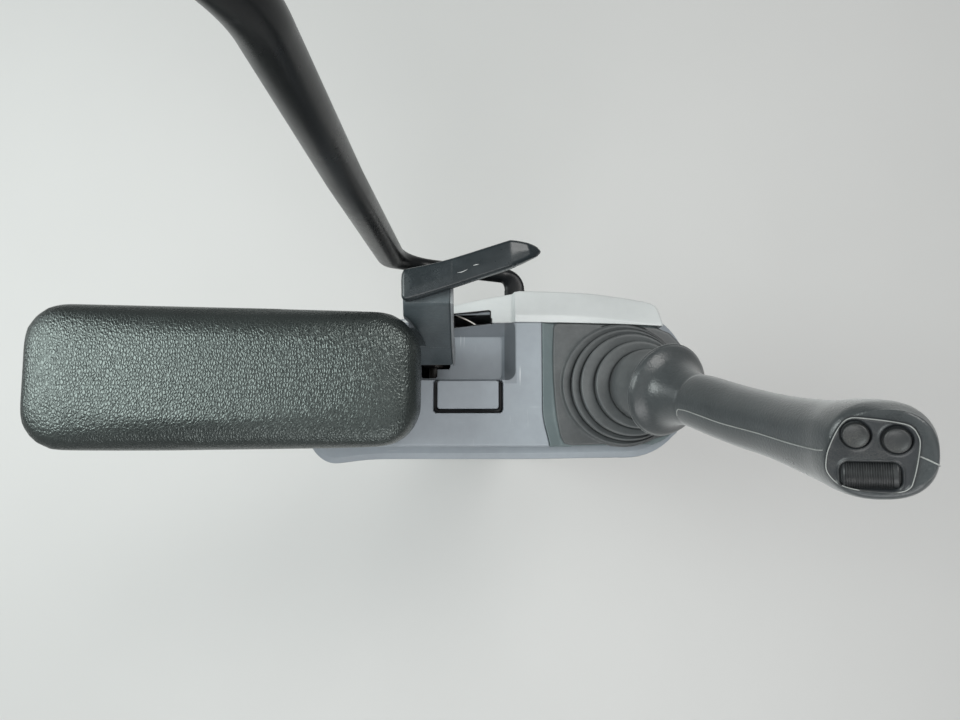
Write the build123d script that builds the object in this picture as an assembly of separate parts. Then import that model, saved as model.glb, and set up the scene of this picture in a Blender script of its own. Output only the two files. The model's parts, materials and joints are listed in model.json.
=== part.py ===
from build123d import *
import math
import os

# Operator's left-hand control console of a crawler excavator, on its cab stand.
# Millimetres. X points to the front, Y to the outboard side, Z up.
# The origin is the centre of the base plate's underside.

# General clearances and fits
FIT = 0.05              # radial clearance of a pin in its hole
GAP = 0.3               # between faces that rest or slide on each other
BOLT_HOLE_CLEAR = 0.5   # radial clearance of a bolt in its hole
CUT = 1.0               # a cut reaches this far past the face it opens
WHOLE = 900.0           # longer than any piece that is cut off by a plane

# Base plate
BASE_LENGTH = 220.0
BASE_WIDTH = 160.0
BASE_THICK = 8.0
BASE_CORNER = 14.0
BASE_BOLT_X = 180.0     # hole to hole
BASE_BOLT_Y = 120.0
BASE_HOLE_R = 5.5

# Pedestal, a rectangular tube with two gussets
PEDESTAL_LENGTH = 100.0
PEDESTAL_WIDTH = 80.0
PEDESTAL_WALL = 4.0
PEDESTAL_CORNER = 8.0
PEDESTAL_HEIGHT = 416.0
GUSSET_REACH = 44.0
GUSSET_HEIGHT = 90.0
GUSSET_THICK = 6.0
GUSSET_TIP = 6.0

# Saddle, the folded plate on top of the pedestal
SADDLE_REAR_X = -150.0
SADDLE_FRONT_X = 150.0
SADDLE_WIDTH = 92.0
SADDLE_THICK = 6.0
SADDLE_FLANGE = 30.0
SADDLE_FLANGE_THICK = 4.0

# Tilt pivot of the console
PIVOT_X = -135.0
PIVOT_PIN_R = 6.0
PIVOT_TUBE_R = 11.0
PIVOT_TUBE_LENGTH = 52.0
PIVOT_EAR_R = 14.0
PIVOT_EAR_THICK = 6.0
HEX_HEAD_R = 10.0
HEX_HEAD_THICK = 7.0

# Rubber bumpers that the console rests on
BUMPER_HEIGHT = 16.0
BUMPER_R = 12.0
BUMPER_X = 118.0
BUMPER_Y = 28.0

# Console frame plate
FRAME_THICK = 5.0
FRAME_LIP = 4.0         # how far the plate stands out past the housing
FRAME_REAR_X = -115.0
FRAME_TONGUE_WIDTH = 42.0
RIB_HEIGHT = 54.0
RIB_THICK = 4.0
RIB_IN_Y = -34.0
RIB_OUT_Y = 48.0

# Housing, the lower cover
HOUSING_REAR_X = -170.0
HOUSING_FRONT_X = 178.0
HOUSING_IN_Y = -62.0
HOUSING_OUT_Y = 76.0
HOUSING_DEPTH = 117.0
HOUSING_DRAFT = 10.0    # how far the walls lean in at the bottom
HOUSING_CORNER = 28.0   # rear corners
HOUSING_NOSE = 58.0     # front corners
HOUSING_WALL = 3.0
RIM_WIDTH = 16.0

# Top cover
COVER_HEIGHT = 17.0
COVER_WALL = 3.0
COVER_REAR_INSET = 4.0  # from the housing's edge
COVER_IN_INSET = 12.0
COVER_OUT_INSET = 15.2
COVER_FRONT_X = 43.5
COVER_CORNER = 16.0
COVER_EDGE = 3.0

# Recess for the lock lever in the top cover, open to the wing's side
RECESS_REAR_X = -76.0
RECESS_FRONT_X = 20.0
RECESS_IN_Y = 9.0
RECESS_DEPTH = 23.0
RECESS_SLOPE_X = 12.0   # plan width of the sloping front wall
RECESS_SLOPE_Y = 10.5   # plan width of the sloping outboard wall
RECESS_CORNER = 7.0
RECESS_SIDE_DROP = 5.75 # the wing side's rim lies this much lower
CAVITY_REAR_X = -70.0
CAVITY_FRONT_X = -36.0
CAVITY_IN_Y = 13.0
CAVITY_OUT_Y = 40.0

# Slot beside the recess, where the lever's crank works
SLOT_REAR_X = -42.0
SLOT_FRONT_X = -1.0
SLOT_IN_Y = 58.5
SLOT_OUT_Y = 73.0

# Lid beside the recess
LID_REAR_X = -49.8
LID_LENGTH = 54.7
LID_IN_Y = -16.5
LID_THICK = 6.0
LID_GROOVE = 3.0
LID_CORNER = 3.0

# Wing trim, outboard: outer edge as x, y from rear to front
WING_EDGE = [
    (-165.0, 72.0),
    (-60.0, 76.0),
    (-35.0, 79.5),
    (21.0, 92.0),
    (93.0, 89.5),
    (129.0, 84.0),
    (145.0, 80.3),
    (150.0, 74.7),
    (152.5, 66.0),
]
WING_LEDGE = 6.0        # level strip beside the top cover
WING_STEP = 5.0         # the part beside the recess lies this much lower
WING_STEP_X = 18.0
WING_DROP = 13.0        # fall from the ledge to the wing's outer edge
WING_RUN = 21.0         # plan width over which it falls
WING_SKIRT = 40.0       # depth of the outer wall below the ledge

# Bezel around the boot, and the boot
BEZEL_STEP = 4.0        # the bezel's flat lies this much below the cover
BEZEL_BAND = 9.5        # plan width of the sloping band
BEZEL_HOLE_R = 50.0
BEZEL_CORNER = 46.0
FLANGE_THICK = 3.0
FLANGE_INSET = 2.0
BOOT_SHIFT = 0.6        # the boot's middle inboard of the bezel's
FLANGE_CORNER = 14.0
BOOT_WALL = 3.0
BOOT_SHELF = 2.0        # thickness of each ring's top
BOOT_FLOOR_R = 50.0
# Boot rings: centre x from the stick's pivot, radius, height above the flange's top
BOOT_RINGS = [
    (2.0, 53.0, 6.0),
    (5.0, 48.5, 14.0),
    (7.5, 44.0, 22.0),
    (11.7, 37.0, 32.0),
    (16.2, 30.0, 48.0),
]

# Pilot valve and the stick's universal joint
STICK_X = 112.0
STICK_Y = 2.0
STICK_PIVOT_DOWN = 13.0     # pivot below the top cover's flat
VALVE_LENGTH = 60.0
VALVE_WIDTH = 60.0
VALVE_CORNER = 8.0
VALVE_TOP_DOWN = 20.0       # valve's top face below the pivot
CROSS_SIZE = 20.0
CROSS_THICK = 12.0
CROSS_PIN_R = 4.0
YOKE_GAP = 28.6             # between the inner faces of a pair of ears
YOKE_THICK = 4.0
YOKE_HALF = 7.0
BRIDGE_RISE = 16.0          # clevis bridge above the pivot
BRIDGE_THICK = 6.0
STICK_LEAN_DEG = 17.1       # forward
STICK_SIDE_DEG = -2.9       # outboard
ROD_R = 6.0
ROD_LENGTH = 108.0
COLLAR_R = 28.0
SKIRT_R = 34.0
SKIRT_START = 72.0          # along the stick's axis from the pivot
SKIRT_RIM = 5.0
SKIRT_SHOULDER_R = 31.6
SKIRT_SHOULDER = 14.9
SKIRT_HEIGHT = 27.0
SKIRT_NECK_R = 21.5

# Grip sections: x, y, z from the stick's pivot, width along the grip's front
# direction, width across, corner radius
GRIP_SECTIONS = [
    (29.0, -6.0, 88.0, 42.0, 44.0, 20.0),
    (43.0, -15.0, 118.0, 41.0, 42.0, 19.0),
    (58.0, -27.0, 153.0, 40.0, 40.0, 18.5),
    (71.0, -36.0, 193.0, 40.0, 41.0, 18.5),
    (81.0, -43.0, 233.0, 46.0, 46.0, 20.0),
    (87.0, -46.0, 261.0, 58.0, 51.0, 22.0),
    (86.0, -47.5, 283.0, 53.0, 49.0, 22.0),
    (83.0, -48.0, 299.0, 38.0, 36.0, 16.0),
]
# Switch panel on the head: centre from the stick's pivot, and facing
PANEL_CENTRE = (76.3, -50.0, 285.7)
PANEL_FACING = (-0.42, -0.22, 0.88)
PANEL_LENGTH = 45.0
PANEL_WIDTH = 40.0
PANEL_CORNER = 13.0
PANEL_THICK = 4.0
PANEL_SINK = 2.5
BUTTON_R = 6.2
BUTTON_HEIGHT = 4.0
BUTTON_SPACING = 18.0
BUTTON_OFFSET = 9.6         # across the panel from its centre
BUTTON_SHIFT = 2.4          # along the panel from its centre
ROLLER_R = 9.0
ROLLER_LENGTH = 26.0
ROLLER_OFFSET = -10.0
ROLLER_PROUD = 3.0
ROLLER_CLEAR = 0.6

# Lock lever
LEVER_X = -55.0
LEVER_DOWN = 37.0           # axis below the top cover's flat
LEVER_SHAFT_R = 5.0
LEVER_SHAFT_IN_Y = -12.0
LEVER_SHAFT_OUT_Y = 64.0
LEVER_BOSS_R = 8.0
LEVER_BOSS_IN_Y = 23.0
LEVER_BOSS_OUT_Y = 34.0
SHANK_REAR = 9.0            # behind the axis
SHANK_FRONT = 1.0
SHANK_IN_Y = 23.0
SHANK_OUT_Y = 34.0
POST_FOOT_UP = 5.0          # lever post's lower edge above the cover's flat
POST_SHOULDER_UP = 32.0
POST_TOP_UP = 91.0
# Lever post sections: rear x, front x, inboard y, outboard y
POST_FOOT = (-67.0, -34.0, 22.0, 38.0)
POST_SHOULDER = (-67.0, -33.5, 34.5, 50.5)
POST_WAIST = (-66.0, -33.5, 34.5, 50.5)
POST_HEAD = (-70.0, -31.0, 62.0, 78.0)
POST_RELIEF = 6.0           # room between the post and the armrest's pad
ARM_THICK = 13.0
# Lever arm outline seen from above
ARM_OUTLINE = [
    (-70.0, 79.0),
    (-63.0, 86.0),
    (10.0, 107.0),
    (22.0, 106.0),
    (36.0, 102.0),
    (24.0, 91.0),
    (11.0, 87.0),
    (-29.0, 75.0),
    (-67.0, 63.0),
]
ARM_EDGE = 2.5
CRANK_IN_Y = 58.0
CRANK_THICK = 4.0
CRANK_R = 7.0
CRANK_FORWARD = 33.0
CRANK_DOWN = 8.0
CRANK_PIN_R = 3.5
CRANK_PIN_LENGTH = 7.0
BEARING_THICK = 4.0
BEARING_IN_Y = -2.0
BEARING_OUT_Y = 39.5
BEARING_LENGTH = 30.0
BEARING_FOOT = 4.0

# Armrest
PAD_REAR_X = -366.0
PAD_FRONT_X = -59.5
PAD_IN_Y = -51.0
PAD_OUT_Y = 65.0
PAD_TAPER_IN = 2.5          # the pad narrows by this much to the front
PAD_TAPER_OUT = 8.0
PAD_THICK = 55.0
PAD_TOP_UP = 95.0           # pad's top above the cover's flat
PAD_CORNER = 31.0
PAD_EDGE = 19.0
PAD_PLATE_THICK = 4.0
PAD_PLATE_INSET_X = 38.0
PAD_PLATE_INSET_Y = 21.0
PAD_PLATE_REAR = 21.0
PAD_PLATE_CORNER = 15.0
REST_PIVOT_INSET = 41.0     # hinge in front of the pad's rear end
REST_BARREL_R = 8.0
REST_PIN_R = 5.0
REST_BARREL_GAP = 2.0       # barrel's top below the plate
REST_WEB = 11.2             # length of the web over the barrel
REST_EAR_R = 8.0
REST_EAR_THICK = 6.0
BRACKET_THICK = 6.0
BRACKET_WIDTH = 60.0
BRACKET_FOOT_X = -100.0
BRACKET_FOOT_LENGTH = 60.0
BRACKET_SLOPE = 18.0
BRACKET_DROP = 9.0          # bracket arm's underside below the hinge
STOP_X = -120.0
STOP_R = 10.0

# Grab rail: a thick upright that narrows through its lower bend to a rod
RAIL_R = 14.0
RAIL_X = -111.0
RAIL_Y = 158.5
RAIL_LOW_DOWN = 25.0        # the lower rod's axis below the saddle's top
RAIL_TOP_Z = 1010.0
RAIL_TOP_RUN = 60.0         # height and reach of the sloping top
RAIL_BEND_R = 50.0
ROD_BEND_R = 18.0
RAIL_ROD_R = 8.75
RAIL_TAPER_STEPS = 5        # sections of the narrowing bend
RAIL_FOOT_X = 25.5
RAIL_FOOT_Y = 141.0         # where the rod turns inboard
RAIL_END_Y = 106.0
TAB_WIDTH = 31.0
TAB_THICK = 6.0
TAB_LENGTH = 54.0
FOOT_TAB_WIDTH = 23.0
FOOT_TAB_START_Y = 125.0
RAIL_BOLT_R = 5.0
RAIL_BOLT_Y = 76.0
TAB_HOLE_R = RAIL_BOLT_R + BOLT_HOLE_CLEAR
OUTRIGGER_LENGTH = 56.0
OUTRIGGER_THICK = 6.0
OUTRIGGER_RISE = 28.0       # height of its plate on the saddle's side
OUTRIGGER_EDGE = 17.0       # round end's radius, beyond the rail's bolt

# Heights and slopes that follow from the sizes above
PEDESTAL_TOP_Z = BASE_THICK + PEDESTAL_HEIGHT
SADDLE_TOP_Z = PEDESTAL_TOP_Z + SADDLE_THICK
FRAME_Z = SADDLE_TOP_Z + BUMPER_HEIGHT
FRAME_TOP_Z = FRAME_Z + FRAME_THICK
PIVOT_Z = FRAME_Z + FRAME_THICK / 2
RIM_Z = FRAME_TOP_Z + HOUSING_DEPTH
COVER_Z = RIM_Z + COVER_HEIGHT
STICK_Z = COVER_Z - STICK_PIVOT_DOWN
LEVER_Z = COVER_Z - LEVER_DOWN
BEZEL_Z = COVER_Z - BEZEL_STEP
FLANGE_Z = BEZEL_Z + FLANGE_THICK
PAD_Z = COVER_Z + PAD_TOP_UP - PAD_THICK
REST_PIVOT_X = PAD_REAR_X + REST_PIVOT_INSET
REST_PIVOT_Z = PAD_Z - PAD_PLATE_THICK - REST_BARREL_GAP - REST_BARREL_R
REST_Y = (PAD_IN_Y + PAD_OUT_Y) / 2
RAIL_LOW_Z = SADDLE_TOP_Z - RAIL_LOW_DOWN
COVER_REAR_X = HOUSING_REAR_X + COVER_REAR_INSET
COVER_IN_Y = HOUSING_IN_Y + COVER_IN_INSET
COVER_OUT_Y = HOUSING_OUT_Y - COVER_OUT_INSET
STICK_AXIS = (
    math.tan(math.radians(STICK_LEAN_DEG)),
    math.tan(math.radians(STICK_SIDE_DEG)),
    1.0,
)


def block(x0, x1, y0, y1, z0, z1):
    """A box between two corners."""
    return Pos((x0 + x1) / 2, (y0 + y1) / 2, (z0 + z1) / 2) * Box(x1 - x0, y1 - y0, z1 - z0)


def slab(x0, x1, y0, y1, z0, z1, corner):
    """A plate with rounded upright corners."""
    outline = Pos((x0 + x1) / 2, (y0 + y1) / 2, z0) * RectangleRounded(x1 - x0, y1 - y0, corner)
    return extrude(outline, z1 - z0)


def rod_z(x, y, z0, z1, radius):
    """An upright cylinder."""
    return Pos(x, y, (z0 + z1) / 2) * Cylinder(radius, z1 - z0)


def rod_y(x, z, y0, y1, radius):
    """A cylinder across the console."""
    return Pos(x, (y0 + y1) / 2, z) * Rot(90, 0, 0) * Cylinder(radius, y1 - y0)


def rod_x(y, z, x0, x1, radius):
    """A cylinder along the console."""
    return Pos((x0 + x1) / 2, y, z) * Rot(0, 90, 0) * Cylinder(radius, x1 - x0)


def hex_y(x, z, y0, y1, radius):
    """A hexagonal bolt head or nut with its axis across the console."""
    outline = Plane(origin=(x, y0, z), z_dir=(0, 1, 0)) * RegularPolygon(radius, 6)
    return extrude(outline, y1 - y0)


def hex_z(x, y, z0, z1, radius):
    """A hexagonal bolt head or nut with an upright axis."""
    return extrude(Pos(x, y, z0) * RegularPolygon(radius, 6), z1 - z0)


def side_profile(points, y0, y1):
    """A solid whose side view is a polygon of x, z points."""
    face = make_face(Polyline([(x, y0, z) for x, z in points], close=True))
    return extrude(face, y1 - y0, dir=(0, 1, 0))


def plan_profile(points, z0, z1):
    """A solid whose plan is a polygon of x, y points."""
    face = make_face(Polyline([(x, y, z0) for x, y in points], close=True))
    return extrude(face, z1 - z0, dir=(0, 0, 1))


def half_space(point, normal):
    """A large box that starts at a point and reaches along a normal."""
    plane = Plane(origin=point, z_dir=normal)
    return extrude(plane * Rectangle(WHOLE, WHOLE), WHOLE)


def stick_point(distance):
    """A point on the stick's leaning axis."""
    rise = distance / math.hypot(*STICK_AXIS)
    return (
        STICK_X + STICK_AXIS[0] * rise,
        STICK_Y + STICK_AXIS[1] * rise,
        STICK_Z + rise,
    )


def base_plate():
    plate = slab(
        -BASE_LENGTH / 2,
        BASE_LENGTH / 2,
        -BASE_WIDTH / 2,
        BASE_WIDTH / 2,
        0,
        BASE_THICK,
        BASE_CORNER,
    )
    for sx in (-1, 1):
        for sy in (-1, 1):
            x = sx * BASE_BOLT_X / 2
            y = sy * BASE_BOLT_Y / 2
            plate -= rod_z(x, y, -CUT, BASE_THICK + CUT, BASE_HOLE_R)
    return plate


def gusset(sign):
    """A triangular web between the base plate and the pedestal's front or rear wall."""
    start = PEDESTAL_LENGTH / 2
    z0 = BASE_THICK
    points = [
        (sign * start, z0),
        (sign * (start + GUSSET_REACH), z0),
        (sign * (start + GUSSET_REACH), z0 + GUSSET_TIP),
        (sign * (start + GUSSET_TIP), z0 + GUSSET_HEIGHT),
        (sign * start, z0 + GUSSET_HEIGHT),
    ]
    return side_profile(points, -GUSSET_THICK / 2, GUSSET_THICK / 2)


def pedestal():
    z0 = BASE_THICK
    tube = slab(
        -PEDESTAL_LENGTH / 2,
        PEDESTAL_LENGTH / 2,
        -PEDESTAL_WIDTH / 2,
        PEDESTAL_WIDTH / 2,
        z0,
        PEDESTAL_TOP_Z,
        PEDESTAL_CORNER,
    )
    tube -= slab(
        -PEDESTAL_LENGTH / 2 + PEDESTAL_WALL,
        PEDESTAL_LENGTH / 2 - PEDESTAL_WALL,
        -PEDESTAL_WIDTH / 2 + PEDESTAL_WALL,
        PEDESTAL_WIDTH / 2 - PEDESTAL_WALL,
        z0 - CUT,
        PEDESTAL_TOP_Z + CUT,
        PEDESTAL_CORNER - PEDESTAL_WALL,
    )
    for sign in (-1, 1):
        tube += gusset(sign)
    return tube


def saddle():
    half = SADDLE_WIDTH / 2
    plate = block(SADDLE_REAR_X, SADDLE_FRONT_X, -half, half, PEDESTAL_TOP_Z, SADDLE_TOP_Z)
    flange_z = PEDESTAL_TOP_Z - SADDLE_FLANGE
    inner = half - SADDLE_FLANGE_THICK
    plate += block(SADDLE_REAR_X, SADDLE_FRONT_X, inner, half, flange_z, PEDESTAL_TOP_Z)
    plate += block(SADDLE_REAR_X, SADDLE_FRONT_X, -half, -inner, flange_z, PEDESTAL_TOP_Z)
    ear_start = PIVOT_TUBE_LENGTH / 2 + GAP
    for side in (-1, 1):
        y0, y1 = sorted((side * ear_start, side * (ear_start + PIVOT_EAR_THICK)))
        ear = block(PIVOT_X - PIVOT_EAR_R, PIVOT_X + PIVOT_EAR_R, y0, y1, SADDLE_TOP_Z, PIVOT_Z)
        ear += rod_y(PIVOT_X, PIVOT_Z, y0, y1, PIVOT_EAR_R)
        plate += ear
    plate -= rod_y(PIVOT_X, PIVOT_Z, -half, half, PIVOT_PIN_R + FIT)
    return plate


def pivot_bolt():
    reach = PIVOT_TUBE_LENGTH / 2 + GAP + PIVOT_EAR_THICK
    bolt = rod_y(PIVOT_X, PIVOT_Z, -reach, reach, PIVOT_PIN_R)
    bolt += hex_y(PIVOT_X, PIVOT_Z, -reach - HEX_HEAD_THICK, -reach, HEX_HEAD_R)
    bolt += hex_y(PIVOT_X, PIVOT_Z, reach, reach + HEX_HEAD_THICK, HEX_HEAD_R)
    return bolt


def rest_bumpers():
    top = FRAME_Z - GAP
    pads = [
        rod_z(BUMPER_X, sy * BUMPER_Y, SADDLE_TOP_Z, top, BUMPER_R)
        for sy in (-1, 1)
    ]
    return Compound(children=pads)


def frame_outline_y():
    """The frame plate's inboard and outboard edges, past the housing's foot."""
    low = HOUSING_IN_Y + HOUSING_DRAFT - FRAME_LIP
    high = HOUSING_OUT_Y - HOUSING_DRAFT + FRAME_LIP
    return low, high


def console_frame():
    y0, y1 = frame_outline_y()
    x1 = HOUSING_FRONT_X - HOUSING_DRAFT + FRAME_LIP
    corner = nose_radius(y0, y1)
    plate = slab(FRAME_REAR_X, x1, y0, y1, FRAME_Z, FRAME_TOP_Z, corner)
    plate += block(FRAME_REAR_X, (FRAME_REAR_X + x1) / 2, y0, y1, FRAME_Z, FRAME_TOP_Z)
    half = FRAME_TONGUE_WIDTH / 2
    plate += block(PIVOT_X, FRAME_REAR_X + CUT, -half, half, FRAME_Z, FRAME_TOP_Z)
    tube_half = PIVOT_TUBE_LENGTH / 2
    plate += rod_y(PIVOT_X, PIVOT_Z, -tube_half, tube_half, PIVOT_TUBE_R)
    plate -= rod_y(PIVOT_X, PIVOT_Z, -tube_half - CUT, tube_half + CUT, PIVOT_PIN_R + FIT)
    rib_top = FRAME_TOP_Z + RIB_HEIGHT
    for y in (RIB_IN_Y, RIB_OUT_Y - RIB_THICK):
        plate += block(FRAME_REAR_X, BUMPER_X, y, y + RIB_THICK, FRAME_TOP_Z, rib_top)
    return plate


def nose_radius(y0, y1, inset=0.0):
    """The front corners' radius, at most what the width between two walls takes."""
    return min(HOUSING_NOSE - inset, (y1 - y0) / 2 - CUT)


def nosed_outline(x0, x1, y0, y1, z, rear, front):
    """A level rectangle with one radius at its rear corners and one at its front corners."""
    corners = [(x0, y0, z), (x1, y0, z), (x1, y1, z), (x0, y1, z)]
    face = make_face(Polyline(corners, close=True))
    ends = face.vertices().group_by(Axis.X)
    face = fillet(ends[0], rear)
    ends = face.vertices().group_by(Axis.X)
    return fillet(ends[-1], front)


def housing_shell(inset, z0, z1):
    """The housing's leaning walls, moved in by inset, between two heights."""
    rings = []
    for z in (z0, z1):
        d = inset + HOUSING_DRAFT * (RIM_Z - z) / HOUSING_DEPTH
        x0 = HOUSING_REAR_X + d
        x1 = HOUSING_FRONT_X - d
        y0 = HOUSING_IN_Y + d
        y1 = HOUSING_OUT_Y - d
        rear = HOUSING_CORNER - inset
        front = nose_radius(y0, y1, inset)
        rings.append(nosed_outline(x0, x1, y0, y1, z, rear, front))
    return loft(rings, ruled=True)


def rim_opening():
    """The hole in the housing's top rim, under the covers."""
    x0 = HOUSING_REAR_X + RIM_WIDTH
    x1 = HOUSING_FRONT_X - RIM_WIDTH
    y0 = HOUSING_IN_Y + RIM_WIDTH
    y1 = HOUSING_OUT_Y - RIM_WIDTH
    rear = HOUSING_CORNER - RIM_WIDTH / 2
    front = nose_radius(y0, y1, RIM_WIDTH)
    z = RIM_Z - HOUSING_WALL - CUT
    outline = nosed_outline(x0, x1, y0, y1, z, rear, front)
    return extrude(outline, HOUSING_WALL + 2 * CUT, dir=(0, 0, 1))


def slot_cut():
    """The lever slot's space, down past the housing's rim."""
    return block(
        SLOT_REAR_X,
        SLOT_FRONT_X,
        SLOT_IN_Y,
        SLOT_OUT_Y,
        RIM_Z - HOUSING_WALL - CUT,
        COVER_Z + CUT,
    )


def lower_cover():
    shell = housing_shell(0, FRAME_TOP_Z, RIM_Z)
    shell -= housing_shell(HOUSING_WALL, FRAME_TOP_Z, RIM_Z - HOUSING_WALL)
    shell -= rim_opening()
    shell -= slot_cut()
    return shell


def recess_shape(inset):
    """The recess's hollow, grown by a wall thickness where inset is negative."""
    x0 = RECESS_REAR_X + inset
    x1 = RECESS_FRONT_X - inset
    y0 = RECESS_IN_Y + inset
    y1 = COVER_OUT_Y - inset
    floor = COVER_Z - RECESS_DEPTH + inset
    corner = RECESS_CORNER
    top = Pos((x0 + x1) / 2, (y0 + y1) / 2, COVER_Z) * RectangleRounded(x1 - x0, y1 - y0, corner)
    x2 = x1 - RECESS_SLOPE_X
    y2 = y1 - RECESS_SLOPE_Y
    low = Pos((x0 + x2) / 2, (y0 + y2) / 2, floor) * RectangleRounded(x2 - x0, y2 - y0, corner)
    return loft([low, top], ruled=True)


def lid_space(grow, z0, z1):
    """The lid's outline, grown by the groove around it, up to the recess."""
    x0 = LID_REAR_X - grow
    x1 = LID_REAR_X + LID_LENGTH + grow
    y0 = LID_IN_Y - grow
    y1 = RECESS_IN_Y
    shape = slab(x0, x1, y0, y1 + LID_CORNER, z0, z1, LID_CORNER)
    return shape - block(x0 - CUT, x1 + CUT, y1, y1 + 2 * LID_CORNER, z0 - CUT, z1 + CUT)


def top_cover():
    x0 = COVER_REAR_X
    x1 = COVER_FRONT_X
    outer = slab(x0, x1, COVER_IN_Y, COVER_OUT_Y, RIM_Z, COVER_Z, COVER_CORNER)
    outer += block((x0 + x1) / 2, x1, COVER_IN_Y, COVER_OUT_Y, RIM_Z, COVER_Z)
    outer = fillet(outer.faces().sort_by(Axis.Z)[-1].edges().sort_by(Axis.Y)[0], COVER_EDGE)
    hollow = slab(
        x0 + COVER_WALL,
        x1 - COVER_WALL,
        COVER_IN_Y + COVER_WALL,
        COVER_OUT_Y - COVER_WALL,
        RIM_Z - CUT,
        COVER_Z - COVER_WALL,
        COVER_CORNER - COVER_WALL,
    )
    cover = outer - hollow
    tub = recess_shape(-COVER_WALL) & block(
        RECESS_REAR_X - COVER_WALL,
        x1,
        COVER_IN_Y,
        COVER_OUT_Y,
        COVER_Z - RECESS_DEPTH - COVER_WALL,
        COVER_Z,
    )
    cover += tub
    cover += lid_space(LID_GROOVE + COVER_WALL, COVER_Z - LID_THICK - COVER_WALL, COVER_Z)
    cover -= recess_shape(0)
    cover -= block(
        RECESS_REAR_X,
        RECESS_FRONT_X - RECESS_SLOPE_X,
        COVER_OUT_Y - COVER_WALL,
        COVER_OUT_Y + CUT,
        COVER_Z - RECESS_SIDE_DROP,
        COVER_Z + CUT,
    )
    cover -= lid_space(LID_GROOVE, COVER_Z - LID_THICK, COVER_Z + CUT)
    cover -= block(
        CAVITY_REAR_X,
        CAVITY_FRONT_X,
        CAVITY_IN_Y,
        CAVITY_OUT_Y,
        COVER_Z - RECESS_DEPTH - COVER_WALL - CUT,
        COVER_Z - RECESS_DEPTH + CUT,
    )
    cover -= slot_cut()
    return cover


def lid():
    return lid_space(0, COVER_Z - LID_THICK, COVER_Z)


def wing_trim():
    inner = COVER_OUT_Y + GAP
    points = [(WING_EDGE[0][0], inner)] + WING_EDGE + [(WING_EDGE[-1][0], inner)]
    wing = plan_profile(points, COVER_Z - WING_SKIRT, COVER_Z)
    ledge_y = inner + WING_LEDGE
    wing -= half_space((0, ledge_y, COVER_Z), (0, WING_DROP, WING_RUN))
    beside = half_space((0, inner, COVER_Z - WING_STEP), (0, WING_DROP, WING_RUN))
    wing -= beside & block(
        WING_EDGE[0][0] - CUT,
        WING_STEP_X,
        inner - CUT,
        WING_EDGE[3][1] + CUT,
        COVER_Z - WING_SKIRT,
        COVER_Z + CUT,
    )
    wing -= block(
        WING_EDGE[0][0] - CUT,
        WING_EDGE[-1][0] + CUT,
        inner - CUT,
        HOUSING_OUT_Y + GAP,
        COVER_Z - WING_SKIRT - CUT,
        RIM_Z,
    )
    wing -= slot_cut()
    return wing


def boot_bezel():
    x0 = COVER_FRONT_X + GAP
    x1 = HOUSING_FRONT_X - COVER_REAR_INSET
    corner = BEZEL_CORNER
    outer = slab(x0, x1, COVER_IN_Y, COVER_OUT_Y, RIM_Z, BEZEL_Z, corner)
    outer += block(x0, (x0 + x1) / 2, COVER_IN_Y, COVER_OUT_Y, RIM_Z, BEZEL_Z)
    band = side_profile(
        [(x0, BEZEL_Z), (x0, COVER_Z), (x0 + BEZEL_BAND, BEZEL_Z)],
        COVER_IN_Y,
        COVER_OUT_Y,
    )
    hollow = slab(
        x0 + COVER_WALL,
        x1 - COVER_WALL,
        COVER_IN_Y + COVER_WALL,
        COVER_OUT_Y - COVER_WALL,
        RIM_Z - CUT,
        BEZEL_Z - COVER_WALL,
        corner - COVER_WALL,
    )
    bezel = outer + band - hollow
    bezel -= rod_z(STICK_X + BOOT_RINGS[0][0], boot_y(), RIM_Z, COVER_Z, BEZEL_HOLE_R)
    return bezel


def boot_y():
    """The boot's middle, between the inboard edge and the wing."""
    return (COVER_IN_Y + COVER_OUT_Y) / 2 - BOOT_SHIFT


def boot():
    x0 = COVER_FRONT_X + GAP + BEZEL_BAND
    x1 = HOUSING_FRONT_X - COVER_REAR_INSET - FLANGE_INSET
    y0 = COVER_IN_Y + FLANGE_INSET
    y1 = COVER_OUT_Y - FLANGE_INSET
    flange = slab(x0, x1, y0, y1, BEZEL_Z, FLANGE_Z, BEZEL_CORNER - FLANGE_INSET)
    flange += slab(x0, x1 - BEZEL_CORNER, y0, y1, BEZEL_Z, FLANGE_Z, FLANGE_CORNER)
    shell = flange
    low = FLANGE_Z
    for offset, radius, height in BOOT_RINGS:
        y = boot_y() + (STICK_Y - boot_y()) * height / BOOT_RINGS[-1][2]
        shell += rod_z(STICK_X + offset, y, low, FLANGE_Z + height, radius)
        low = FLANGE_Z + height
    low = BEZEL_Z - CUT
    for offset, radius, height in BOOT_RINGS:
        y = boot_y() + (STICK_Y - boot_y()) * height / BOOT_RINGS[-1][2]
        inner = min(radius - BOOT_WALL, BOOT_FLOOR_R)
        shell -= rod_z(STICK_X + offset, y, low, FLANGE_Z + height - BOOT_SHELF, inner)
        low = FLANGE_Z + height - BOOT_SHELF
    offset, radius, height = BOOT_RINGS[-1]
    shell -= rod_z(STICK_X + offset, STICK_Y, low - CUT, FLANGE_Z + height + CUT, radius - 2 * BOOT_WALL)
    return shell


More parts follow.
